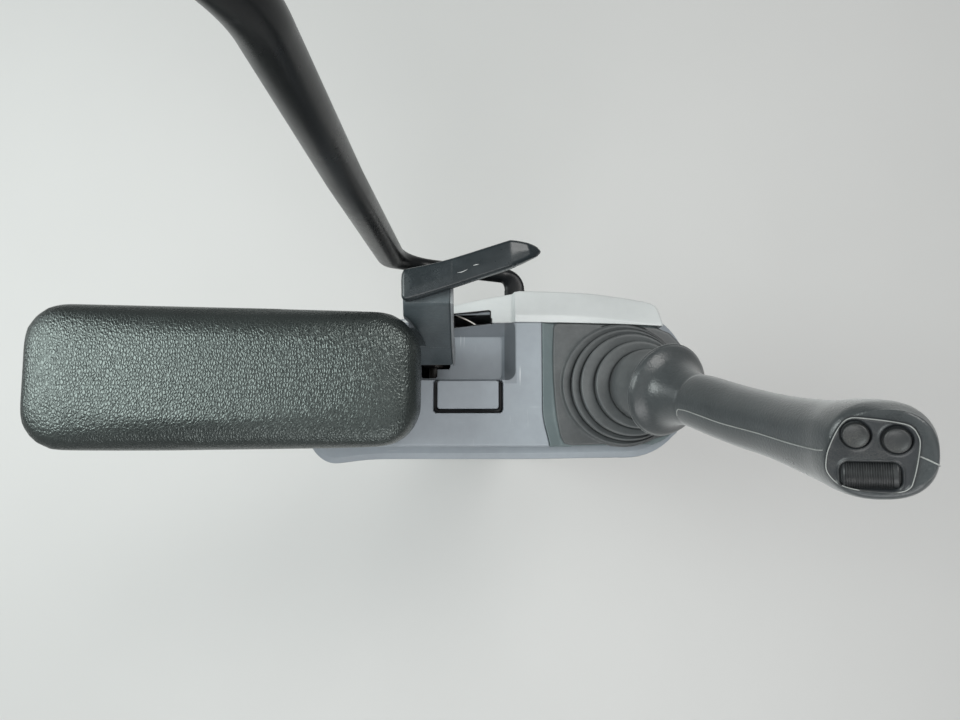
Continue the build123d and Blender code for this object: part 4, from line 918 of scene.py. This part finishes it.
def boot():
    """The boot in a lower and an upper part. Columns run round it; rows follow the flange's outline in
    towards the first ring, and then circles of each profile radius about its own middle."""
    turn = np.linspace(0, FULL_TURN, 360, endpoint=False)
    way = np.stack([np.cos(turn), np.sin(turn)], 1)
    from_centre = evened(FLANGE_EDGE, 14, 3) - BOOT_CENTRE
    angle = np.arctan2(from_centre[:, 1], from_centre[:, 0]) % FULL_TURN
    order = np.argsort(angle)
    reach = np.interp(turn, angle[order], np.hypot(*from_centre.T)[order], period=FULL_TURN)[:, None]
    rings = []
    for inset, z in BOOT_FOOT:
        rings.append(at_height(BOOT_CENTRE + way * (reach - inset), z))
    for share in np.linspace(0.12, 1, 9)[:-1]:
        rings.append(at_height(BOOT_CENTRE + way * ((reach - 2.6) * (1 - share) + 55.0 * share), FLANGE_Z))
    for radius, rise, *middle in boot_profile():
        rings.append(at_height(np.array(middle) + way * radius, FLANGE_Z + rise))
    rings = np.stack(rings)
    level = rings[:, 0, 2]
    lowest = (level[1:-1] < level[:-2]) & (level[1:-1] <= level[2:]) & (level[1:-1] > 600)
    valley = np.flatnonzero(lowest)[0] + 1
    lower = surface("boot_lower_rings", rings[: valley + 1], caps=(False, False), sharp_deg=50)
    upper = surface("boot_upper_rings", rings[valley:], caps=(False, True), sharp_deg=50)
    dress(lower, "boot_rubber", None, ["boot"])
    dress(upper, "boot_rubber", None, ["boot_collar"])
    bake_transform(lower)
    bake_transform(upper)


GRIP_FOOT = STICK + (24.5, -6.0, 83.0)
GRIP_AXIS = unit((0.50, -0.33, 1.0))
# Each section's middle from the stick's pivot, its size along and across, and its power
GRIP_SECTIONS = [
    (38.9, -15.4, 111.6, 38.8, 39.6, 2.05),
    (42.6, -17.2, 119.0, 39.0, 41.0, 2.15),
    (58.0, -27.5, 153.0, 40.0, 41.0, 2.25),
    (71.0, -36.0, 193.0, 40.0, 41.0, 2.3),
    (80.5, -43.0, 233.0, 46.0, 46.0, 2.4),
    (85.0, -46.0, 261.0, 55.0, 51.0, 2.5),
    (84.0, -47.5, 281.0, 52.5, 50.0, 2.45),
    (82.0, -48.0, 294.0, 43.0, 41.0, 2.3),
]
DOME = [
    (5, -0.4), (29, -0.9), (34.6, -1.5), (36.6, -1.2), (37.4, 0.0), (37.2, 1.1), (36.5, 1.6), (36.3, 2.2),
    (35.7, 3.6), (33.6, 5.6), (30.4, 7.8), (27.6, 10.2), (25.4, 13.2), (23.6, 17.0), (22.1, 21.4),
    (20.9, 26.4), (20.0, 32.0),
]
TIP_ROWS = 23


def grip_points(grow=0.0):
    """The grip with its foot's dome. Circles follow the dome's profile up its own axis; from there a
    superellipse |a/along|^n + |b/across|^n = 1 is carried up a curve through the sections to a domed end,
    and pressed flat where it would stand over the panel's plane."""
    table = smooth_curve(GRIP_SECTIONS, 120)
    centre = STICK + table[:, :3]
    foot = softened(DOME, 3)
    low = GRIP_FOOT + GRIP_AXIS * foot[:, 1:]
    heading = unit(np.gradient(np.concatenate([low[-1:], centre]), axis=0)[1:])
    travel = np.concatenate([[0], np.cumsum(np.linalg.norm(np.diff(centre, axis=0), axis=1))])
    share = smooth_step(travel / 18)[:, None]
    heading = heading * share + GRIP_AXIS * (1 - share)
    dome = np.linspace(0, 1, TIP_ROWS + 1)[1:, None]
    tip = centre[-1] + heading[-1] * dome * 7.5
    tip_half = table[-1, 3:5] / 2 * np.sqrt(1 - 0.985 * dome**2)
    centre = np.concatenate([low, centre, tip])
    heading = np.concatenate([[GRIP_AXIS] * len(foot), heading, [heading[-1]] * TIP_ROWS])
    heading = unit(heading)
    half = np.concatenate([np.repeat(foot[:, :1], 2, 1), table[:, 3:5] / 2, tip_half]) + grow
    power = np.concatenate([np.full(len(foot), 2.0), table[:, 5], np.full(TIP_ROWS, table[-1, 5])])
    fore = unit(np.stack([heading[:, 2], 0 * heading[:, 0], -heading[:, 0]], 1))
    side = np.cross(heading, fore)
    c, s = superellipse(power, 144)
    p = centre[:, None] + fore[:, None] * (c * half[:, :1])[..., None]
    p = p + side[:, None] * (s * half[:, 1:])[..., None]
    over = (p - PANEL_AT) @ PANEL_OUT
    near = 1 - smooth_step((np.linalg.norm(p - PANEL_AT, axis=2) - 22) / 14)
    press = (over - soft_min(over, grow - 0.4, 5.0)) * near
    return p - press[..., None] * PANEL_OUT, len(foot)


def grip():
    """The hand grip and its dome in one piece, and its parting line: a thin rib carried along the surface
    near one turn of its section, up its rear side to the panel and down its front side."""
    dress(surface("hand_grip", grip_points()[0], sharp_deg=60), "grip_plastic", "joystick", ["grip"])
    shell, start = grip_points(0.10)
    rear_turns = ((0, 86.0), (3, 82.0), (8, 79.2), (18, 77.3), (50, 74.6), (75, 73.0), (97, 72.2))
    front_turns = ((0, 138.2), (29, 137.0))
    for name, first, last, turns in (("rear", 2, 99, rear_turns), ("front", 112, 141, front_turns)):
        rows = np.arange(last - first)
        column = np.interp(rows, *np.array(turns).T)
        rows = rows + start + first
        left = np.floor(column).astype(int)
        f = (column - left)[:, None]
        path = shell[rows, left] * (1 - f) + shell[rows, (left + 1) % shell.shape[1]] * f
        path = smooth_curve(path[::3], 110)
        seam = swept(f"grip_parting_line_{name}", path, 0.40, 0.40, SMOOTH_ROUND, 8)
        # The rib is pale as a painted highlight along the parting line.
        dress(seam, "grip_plastic", "joystick", material=RIDGE_HIGHLIGHT_FINISH)


# Switch panel

PANEL_EDGE = [
    (-24.7, -6.5), (-23.9, 0.5), (-21.8, 6.6), (-18.9, 12.8), (-15.4, 18.0), (-12.4, 20.0), (-8.6, 20.3),
    (2.0, 19.0), (11.7, 17.1), (15.6, 15.2), (17.8, 11.9), (18.9, 7.0), (17.6, -3.0), (15.6, -12.0),
    (13.6, -16.6), (7.9, -19.0), (-7.8, -18.6), (-16.0, -16.8), (-20.5, -14.2), (-23.4, -10.6),
]
BUTTONS = {"rear": (-9.6, 10.9), "front": (8.4, 8.4)}
PANEL_CROWN = 0.0012
DRUM_REAR, DRUM_FRONT, DRUM_RADIUS = -16.4, 9.0, 7.5


def on_panel(points):
    """Carries points given along, across and over the panel into the part's frame."""
    return PANEL_AT + points @ np.stack([PANEL_U, PANEL_V, PANEL_OUT])


def switch_panel():
    """The switch panel: a slightly crowned plate with a raised lip at its edge and round its wells."""
    outline = straight_runs(smooth_curve(PANEL_EDGE, 80, closed=True))
    roller_well = rounded_box((-17.4, 10.0, -17.3, -3.0), 4.6)

    def height(u, v):
        d = outline(u, v)
        z = 1.3 - PANEL_CROWN * (u**2 + v**2) + 0.55 * ridge(d + 1.0, 0.5) - edge_round(d, 0.7)
        well = roller_well(u, v)
        z = z + 0.7 * ridge(well - 0.9, 0.6) - 6.0 * smooth_step(-well / 0.8)
        for at_u, at_v in BUTTONS.values():
            r = np.hypot(u - at_u, v - at_v)
            z = z + 0.35 * ridge(r - 7.9, 0.5) - 1.3 * smooth_step((7.3 - r) / 0.7)
        return z

    plate = outlined_sheet("switch_panel_plate", (-25.6, 19.8, -20.2, 21.4), 0.4, outline, height,
                           lambda u, v: -7.5 + 0 * u, place=on_panel, sharp_deg=40)
    lip = smooth_curve(PANEL_EDGE, 200, closed=True)
    lip = np.column_stack([lip * 0.962, 1.85 - PANEL_CROWN * (lip**2).sum(1)])
    bead = swept("switch_panel_lip", on_panel(lip), 0.28, 0.26, SMOOTH_ROUND, 10, PANEL_OUT, True)
    # The lip bead is pale as a painted highlight along the panel's edge.
    dress(bead, "panel_plastic", "joystick", material=RIDGE_HIGHLIGHT_FINISH)
    dress(plate, "panel_plastic", "joystick", ["switch_panel"])


def push_buttons():
    """The push buttons: a dished top inside a rounded rim, turned about the panel's facing."""
    profile = softened([
        (0.02, 3.4), (2.0, 3.45), (4.0, 3.75), (5.0, 4.1), (5.6, 4.15), (6.0, 3.8), (6.15, 3.2), (6.2, 0.5),
        (6.2, -0.6), (0.02, -0.6)])
    for place, (u, v) in BUTTONS.items():
        button = turned(f"push_button_{place}", profile, on_panel(np.array([u, v, 0.3])), PANEL_OUT, 56, 40)
        dress(button, "panel_plastic", "joystick", [f"button_{place}"], BUTTON_FINISH)


def thumb_roller():
    """The thumb roller: a drum turned about the panel's length, ribbed up to a plain end."""
    along = np.linspace(DRUM_REAR, DRUM_FRONT, 420)
    ribs = 0.32 * np.clip(np.cos(FULL_TURN * along / 1.1) * 2.0, -1, 1) * smooth_step((6.6 - along) / 0.8)
    ends = edge_round(np.maximum(along - DRUM_FRONT, DRUM_REAR - along), 1.0)
    radius = DRUM_RADIUS + ribs * smooth_step((along - DRUM_REAR - 1.0) / 0.6) - ends
    profile = np.concatenate([
        [(0.05, DRUM_REAR)], np.column_stack([radius, along]), [(0.05, DRUM_FRONT)]])
    drum = turned("ribbed_roller", profile, on_panel(np.array([0.0, -10.0, -3.6])), PANEL_U, 72, 50)
    dress(drum, "panel_plastic", "joystick", ["thumb_roller"], ROLLER_FINISH)


# Lock lever

ARM_EDGE = [
    (-70, 70), (-70.2, 79), (-69.2, 84.4), (-65.5, 86.9), (-48, 90.6), (-28.3, 95.9), (10.0, 108.1),
    (14.5, 108.9), (20, 108.4), (27.5, 107.2), (33.0, 105.6), (36.2, 102.8), (36.2, 101.0), (33.6, 98.2),
    (28, 95.2), (20, 91.4), (12, 87.8), (-8, 81.2), (-37.6, 71.3), (-62, 64.0), (-67.8, 63.2),
    (-69.8, 65.2),
]
ARM_TOP, ARM_FOOT = 689.0, 676.0
ARM_SCRATCHES = (
    ((-27.6, 83.2), (-24.0, 83.7), (-19.3, 85.9)),
    ((-15.7, 88.6), (-13.4, 89.2), (-10.9, 89.6)),
)


def post_between(a, b, start, stop, count, corner=2.2, soft=0.8):
    """Sections spread evenly between two post sections, with both ends drawn in a little to round them."""
    share = np.linspace(0, 1, count)[:, None]
    boxes = np.array(a) * (1 - share) + np.array(b) * share
    rows = np.column_stack([boxes, start + (stop - start) * share, np.full(count, corner)])
    drawn = np.array([soft, -soft, soft, -soft, 0, -soft / 2])
    lift = np.array([0, 0, 0, 0, soft, 0])
    return [rows[0] + drawn, rows[0] + lift, *rows[1:-1], rows[-1] - lift, rows[-1] + drawn]


def clear_of_armrest(ring):
    """Points that would come too near the armrest's rounded corner move out to a curve round it."""
    for _ in range(3):
        away, *slope = slopes(rounded_box((-366, -55.6, -51, 61), 35), *ring.T)
        ring = ring - np.minimum(away, 0)[:, None] * np.column_stack(slope)
    return ring


def lever_post():
    """The lever's post in a foot and a waist, with a raised strip down its front edge."""
    foot = post_between((-68, -35.4, 22, 38), (-76, -35.2, 34.5, 51.5), 590, 617.5, 10)
    waist = post_between((-76, -35.2, 34.5, 50.5), (-70, -33.4, 62, 78), 616.5, 676.6, 26)
    strip_ends = ((-35.6, -33.4, 21.4, 38.5), (-35.4, -33.3, 33.9, 51.0), (-33.4, -31.0, 61.4, 78.4))
    strip_low = post_between(*strip_ends[:2], 590, 617.6, 8, 0.9, 0.35)
    strip_high = post_between(*strip_ends[1:], 617.6, 676.4, 14, 0.9, 0.35)
    foot = lofted("lever_post_foot", foot)
    waist = lofted("lever_post_waist", waist, 24, clear_of_armrest)
    # The foot and waist are coloured lighter than the arm as painted light on the lit inboard face, with
    # real scuffs.
    dress(foot, "lever_plastic", "lock_lever", ["lever_post"], POST_SCUFFED_PAINTED_LIGHT_FINISH)
    dress(waist, "lever_plastic", "lock_lever", material=POST_SCUFFED_PAINTED_LIGHT_FINISH)
    for name, sections in (("low", strip_low), ("high", strip_high)):
        strip = lofted(f"lever_post_strip_{name}", sections)
        # Each strip is pale as a painted highlight along the front edge.
        dress(strip, "lever_plastic", "lock_lever", material=STRIP_HIGHLIGHT_AND_WEAR_FINISH)


def lever_arm():
    """The lever's arm: a level bar with well rounded edges, whose tip falls away past a soft crease, and
    two pale scratches on it."""
    outline = straight_runs(smooth_curve(ARM_EDGE, 130, closed=True))

    def height(x, y):
        d = outline(x, y)
        facet = 0.20 * soft_max(x - 13.5 - 0.06 * (98 - y), 0, 0.8)
        facet = facet + 0.42 * soft_max(x - 27.5 - 0.25 * (100 - y), 0, 0.8)
        crown = 0.7 * smooth_step(-d / 9.0) - 0.75
        return ARM_TOP + crown - edge_round(d, 2.2) - facet - 0.22 * ridge(x + 31.0, 0.4)

    def bottom(x, y):
        return ARM_FOOT + 0.6 * edge_round(outline(x, y), 2.0)

    box = (-71.5, 37.0, 61.5, 108.5)
    bar = outlined_sheet("lever_arm_bar", box, 0.8, outline, height, bottom, sharp_deg=50)
    ease = np.sin(np.linspace(0.15, math.pi - 0.15, 24))
    for number, ends in enumerate(ARM_SCRATCHES, 1):
        path = smooth_curve(at_height(ends, ARM_TOP - 0.05), 24)
        scratch = swept(f"lever_arm_scratch_{number}", path, 0.24 * ease, 0.14, SMOOTH_ROUND, 8)
        dress(scratch, "lever_plastic", "lock_lever", material=SCRATCH_FINISH)
    dress(bar, "lever_plastic", "lock_lever", ["lever_arm"])


# Armrest

PAD_FOOT, PAD_TOP = 625.0, 680.0
PAD_REAR, PAD_FRONT = -370.5, -57.9
PAD_LIMITS = np.array([[-371.5, -53.0, PAD_FOOT + 0.1], [-57.7, 67.2, PAD_TOP - 0.1]])
CLOTH = {
    "quality": 6, "mass": 0.4, "tension_stiffness": 40, "compression_stiffness": 40,
    "shear_stiffness": 20, "bending_stiffness": 8, "use_pressure": True, "uniform_pressure_force": 4.0,
    "vertex_group_mass": "held",
}
CLOTH_FRAMES = 20


def cushion_points(shrink):
    """The cushion: loops round its tapered outline, drawn in from the sides towards the top and the
    underside by rounded edges, over a gently crowned top."""
    foot, shoulder = np.radians(np.linspace(0, 90, 12)), np.radians(np.linspace(0, 90, 14))
    stations = [(inset, PAD_FOOT) for inset in (50.0, 38.0, 26.0)]
    stations += [(15.0 * (1 - math.sin(a)), PAD_FOOT + 15.0 * (1 - math.cos(a))) for a in foot]
    stations += [(18.0 * (1 - math.cos(a)), 664.5 + 14.0 * math.sin(a)) for a in shoulder]
    stations += [(26.0, 679.0), (36.0, 679.6), (47.0, 679.9)]
    rings = []
    for inset, z in stations:
        inset += shrink
        corner = max(33.0 - 0.55 * inset, 3.5)
        box = (PAD_REAR + inset, PAD_FRONT - inset, -51 + inset, 65 - inset)
        ring = rounded_loop(box, corner, corner, 12, 26)
        along = (ring[:, 0] - PAD_REAR) / (PAD_FRONT - PAD_REAR)
        taper = np.where(ring[:, 1] < 7, 3.6 * along - 1.2, 1.4 - 8.8 * along)
        ring[:, 1] += taper * smooth_step(abs(ring[:, 1] - 7) / 12)
        squash = 1 - 2 * shrink / (PAD_TOP - PAD_FOOT)
        rings.append(at_height(ring, PAD_FOOT + (z - PAD_FOOT) * squash + shrink))
    return np.stack(rings)


def evaluated_mesh(obj):
    """A mesh as an object's modifiers make it."""
    bpy.context.view_layer.update()
    return bpy.data.meshes.new_from_object(obj.evaluated_get(bpy.context.evaluated_depsgraph_get()))


def places(mesh):
    """A mesh's points in millimetres."""
    return np.array([v.co for v in mesh.vertices]) / MM


def filled_cushion():
    """A slightly small cushion on an even mesh, filled by a cloth simulation that holds its underside, kept
    within the pad's limits and made finer."""
    start = surface("armrest_cushion_start", cushion_points(0.7), sharp_deg=80)
    remesh = start.modifiers.new("Even mesh", "REMESH")
    remesh.mode = "VOXEL"
    remesh.voxel_size = 0.005
    remesh.use_smooth_shade = True
    cushion = bpy.data.objects.new("armrest_cushion", evaluated_mesh(start))
    bpy.context.scene.collection.objects.link(cushion)
    bpy.data.objects.remove(start)
    rest = places(cushion.data)
    held = cushion.vertex_groups.new(name="held")
    held.add(np.flatnonzero(rest[:, 2] < PAD_FOOT + 15.0).tolist(), 1.0, "REPLACE")
    cloth = cushion.modifiers.new("Filling", "CLOTH").settings
    for key, value in CLOTH.items():
        setattr(cloth, key, value)
    cloth.effector_weights.gravity = 0.0
    for number in range(1, CLOTH_FRAMES + 1):
        bpy.context.scene.frame_set(number)
    filled = evaluated_mesh(cushion)
    shift = places(filled) - rest
    shift *= np.minimum(1, 5.0 / np.maximum(np.linalg.norm(shift, axis=1)[:, None], 1e-6))
    cushion.modifiers.clear()
    cushion.data = filled
    filled.vertices.foreach_set("co", (np.clip(rest + shift, *PAD_LIMITS) * MM).ravel())
    filled.update()
    bpy.context.scene.frame_set(1)
    fine = cushion.modifiers.new("Finer", "SUBSURF")
    fine.levels = 1
    fine.render_levels = 1
    cushion.data = evaluated_mesh(cushion)
    cushion.modifiers.clear()
    cushion.vertex_groups.clear()
    cushion.data.polygons.foreach_set("use_smooth", [True] * len(cushion.data.polygons))
    return cushion


def armrest_cushion():
    cushion = filled_cushion()
    dress(cushion, "armrest_vinyl", "armrest", ["armrest_pad"])


# Grab rail and small things

RAIL_CORNERS = [
    (-171, 157.5, 1010), (-111, 157.5, 950), (-114.4, 157.5, 690), (-112.6, 157.4, 405), (25.5, 141, 405),
    (25.5, 104, 405),
]
RAIL_BOLT = 5.5


def rounded_path(corners, radii, step=2.0):
    """Even points along straight runs whose corners are arcs of given radii."""
    corners = np.asarray(corners, float)
    pieces = [corners[:1]]
    for before, corner, after, radius in zip(corners, corners[1:], corners[2:], radii):
        a, b = unit(before - corner), unit(after - corner)
        half = math.acos(float(np.clip(a @ b, -1, 1))) / 2
        middle = corner + unit(a + b) * (radius / math.sin(half))
        t = np.linspace(half - math.pi / 2, math.pi / 2 - half, 40)[:, None]
        pieces.append(middle + radius * (np.cos(t) * unit(corner - middle) + np.sin(t) * unit(b - a)))
    pieces.append(corners[-1:])
    rough = np.concatenate(pieces)
    travel = np.concatenate([[0], np.cumsum(np.linalg.norm(np.diff(rough, axis=0), axis=1))])
    even = np.linspace(0, travel[-1], int(travel[-1] / step) + 1)
    return np.column_stack([np.interp(even, travel, axis) for axis in rough.T])


def grab_rail():
    """The grab rail: a circle carried down its upright, narrowing through the lower bend to a rod that
    turns inboard and flattens to a strap. The tabs at both ends are rounded plates with bolt holes."""
    path = rounded_path(RAIL_CORNERS, (125, 1500, 50, 18))
    x, y, z = path.T
    into = np.where(z < 456, np.hypot(x + 112.6, y - 157.4), 0.0)
    size = 14.9 - 6.15 * smooth_step(np.where(z > 405.5, 455 - z, 60) / 50)
    flat = smooth_step((into - 126) / 16)
    turn = smooth_step((into - 60) / 50)[:, None]
    up = np.array([0.1272, 0.9919, 0.0]) * (1 - turn) + UP * turn
    wide, thick = size + (11.3 - size) * flat, size + (4.2 - size) * flat
    tube = swept("grab_rail_tube", path, wide, thick, SMOOTH_ROUND + 1.2 * flat, 48, up)
    dress(tube, "rail_paint", "stand", ["grab_rail"])
    # Each tab's box and bolt hole on its plane, the order of its axes in the part's frame, and its place
    for name, box, hole, axes, place in (
        ("foot", (64.6, 126, 14, 37), (76.0, 25.5), [1, 0, 2], (0, 0, 405)),
        ("head", (-211, -157, 994.5, 1025.5), (-195.5, 1010), [0, 2, 1], (0, 158.5, 0)),
    ):
        outline = rounded_box(box, (box[3] - box[2]) / 2 - 0.01, 2.0)

        def bore(x, y):
            return np.hypot(x - hole[0], y - hole[1]) - RAIL_BOLT

        def face(x, y):
            return 3.0 - edge_round(outline(x, y), 0.8) - edge_round(-bore(x, y), 0.6)

        wider = (box[0] - 0.8, box[1] + 0.8, box[2] - 0.8, box[3] + 0.8)
        sides = (outline, face, lambda x, y: -face(x, y), (bore,), lambda points: points[:, axes] + place)
        dress(outlined_sheet(f"grab_rail_{name}", wider, 0.9, *sides), "rail_paint", "stand")


def slot_liner():
    """The black liner of the lever's slot: a thin upright wall just inside its outline, up to the sloping
    surface round it."""
    loop = evened(SLOT_EDGE, 12, 2, 2)
    out = unit(loop - loop.mean(0))
    x, y = loop.T
    top = np.where(y > 61.2, wing_rear_height(y), recess_height(x, y))
    rings = []
    for gap, down in ((0.25, 0.5), (0.9, 0.5), (1.1, 0.9), (1.1, None), (0.15, None), (0.15, 0.7)):
        level = 550.0 if down is None else np.maximum(top - down, 552.0)
        rings.append(at_height(loop - out * gap, level))
    liner = surface("slot_liner", np.stack(rings), wrap_rows=True)
    dress(liner, "rubber", "console", material=BLACK_LINER_AND_SHADE_FINISH)


def lid_groove_shade_strip():
    """A black strip at the bottom of the groove on three sides of the lid, as painted shade for the deep
    groove: a strip carried along a rounded path.
    """
    corners = at_height([(-51.5, 7.6), (-51.5, -18.2), (6.65, -18.2), (6.65, 7.6)], 577.6)
    shade_strip = swept("lid_groove_shade_strip", rounded_path(corners, (3.0, 3.0), 1.0), 1.6, 1.4, 3.0, 14)
    dress(shade_strip, "rubber", "console", material=BLACK_LINER_AND_SHADE_FINISH)


def link_rod():
    """The bright rod across the slot: a bent wire carried along a short curve."""
    bends = [
        (-40, 72.4, 566.0), (-35.4, 71.0, 565.4), (-25, 66.4, 564.2), (-16.1, 61.4, 563.6),
        (-13, 58.6, 563.6)]
    dress(swept("slot_rod", smooth_curve(bends, 40), 1.1, 1.1, SMOOTH_ROUND, 14), "zinc_steel", "console")


def welds():
    """Welds at the pedestal's foot and head: half-round beads whose size ripples along their run."""
    t = np.arange(220)
    size = 2.1 + 0.28 * np.sin(t * 1.35) + 0.12 * np.sin(t * 0.37 + 1.0)
    for sign, end, side in ((-1, "rear", "in"), (1, "front", "out")):
        for name, stop, fixed, z in (("foot", 32, 0, 8.8), ("foot", 42, 1, 8.8), ("head", 42, 1, 423.2)):
            path = at_height(np.zeros((9, 2)), z)
            path[:, fixed] = sign * (50.4, 40.4)[fixed]
            path[:, 1 - fixed] = np.linspace(-stop, stop, 9)
            title = f"weld_{name}_{(end, side)[fixed]}"
            bead = swept(title, smooth_curve(path, len(t)), size, size, SMOOTH_ROUND, 10)
            dress(bead, "stand_paint", "stand", material=WELD_FINISH)


for build in (
    top_cover, lid, wing, bezel, housing, boot, grip, switch_panel, push_buttons, thumb_roller, lever_post,
    lever_arm, armrest_cushion, grab_rail, slot_liner, lid_groove_shade_strip, link_rod, welds,
):
    build()


# Floor, light and camera

# Each lamp's place, aim, size, power in watts and colour
LAMPS = {
    "key": ((0.80, 0.90, 2.30), (0.05, 0.0, 0.6), (0.9, 0.9), 18.0, (1.0, 0.99, 0.97)),
    "rear_soft": ((-1.30, 0.15, 1.85), (-0.25, 0.0, 0.65), (0.8, 1.1), 23.0, (0.93, 1.0, 0.98)),
    "low_rear": ((-1.60, 0.55, 1.05), (0.15, 0.0, 0.72), (0.9, 0.8), 4.0, (0.93, 1.0, 1.0)),
    "inboard_fill": ((0.20, -1.6, 1.75), (0.0, 0.0, 0.6), (1.5, 1.0), 16.0, (1.0, 1.0, 1.0)),
    "top_fill": ((0.1, -0.4, 2.8), (0.0, 0.0, 0.6), (1.4, 1.4), 4.0, (1.0, 1.0, 1.0)),
}


def floor():
    """A plain pale floor that reaches past every view."""
    x, y = np.meshgrid(np.linspace(-9000, 9000, 3), np.linspace(-9000, 9000, 3), indexing="ij")
    points = np.stack([x, y, 0 * x - 0.5], -1).reshape(-1, 3)
    ground = make_object("pale_floor", points, grid_faces(3, 3), closed=False)
    material, tree, shader = new_material("Pale floor")
    toned = use_group(tree, MOTTLE, {"Colour": (0.62, 0.62, 0.61, 1.0), "Scale": 0.6, "Amount": 0.02})
    feed(tree, shader, {"Base Color": toned["Colour"], "Roughness": 0.8})
    ground.data.materials.append(material)


def studio():
    """Soft rectangular lamps that look at the part and aren't seen themselves, and a pale surround."""
    for name, (place, aim, size, watts, colour) in LAMPS.items():
        data = bpy.data.lights.new(name, "AREA")
        data.shape = "RECTANGLE"
        data.size, data.size_y = size
        data.energy = watts
        data.color = colour
        lamp = bpy.data.objects.new(name, data)
        lamp.location = place
        lamp.rotation_euler = (Vector(aim) - Vector(place)).to_track_quat("-Z", "Y").to_euler()
        lamp.visible_camera = False
        bpy.context.scene.collection.objects.link(lamp)
    world = bpy.data.worlds.new("Soft surround")
    world.use_nodes = True
    tree = world.node_tree
    seen = tree.nodes.new("ShaderNodeLightPath").outputs["Is Camera Ray"]
    strength = remap(tree, seen, 0.0, 1.0, 0.28, 0.80)
    feed(tree, tree.nodes["Background"].inputs, {"Color": (0.97, 0.985, 1.0, 1.0), "Strength": strength})
    bpy.context.scene.world = world


def camera():
    """The photograph's viewpoint: from above, almost straight down."""
    data = bpy.data.cameras.new("view")
    data.sensor_width = 36.0
    data.lens = 27.04
    eye = bpy.data.objects.new("view", data)
    right = Vector((0.99990473, 0.0, -0.0138034))
    up = Vector((0.00133386, 0.99532, 0.0966238))
    back = Vector((0.0137388, -0.0966330, 0.9952253))
    turn = Matrix((right, up, back)).transposed().to_4x4()
    eye.matrix_world = Matrix.Translation(Vector((-2.88, -35.26, 1225.0)) * MM) @ turn
    bpy.context.scene.collection.objects.link(eye)
    bpy.context.scene.camera = eye


floor()
studio()
camera()
bpy.context.scene.view_settings.view_transform = "Standard"
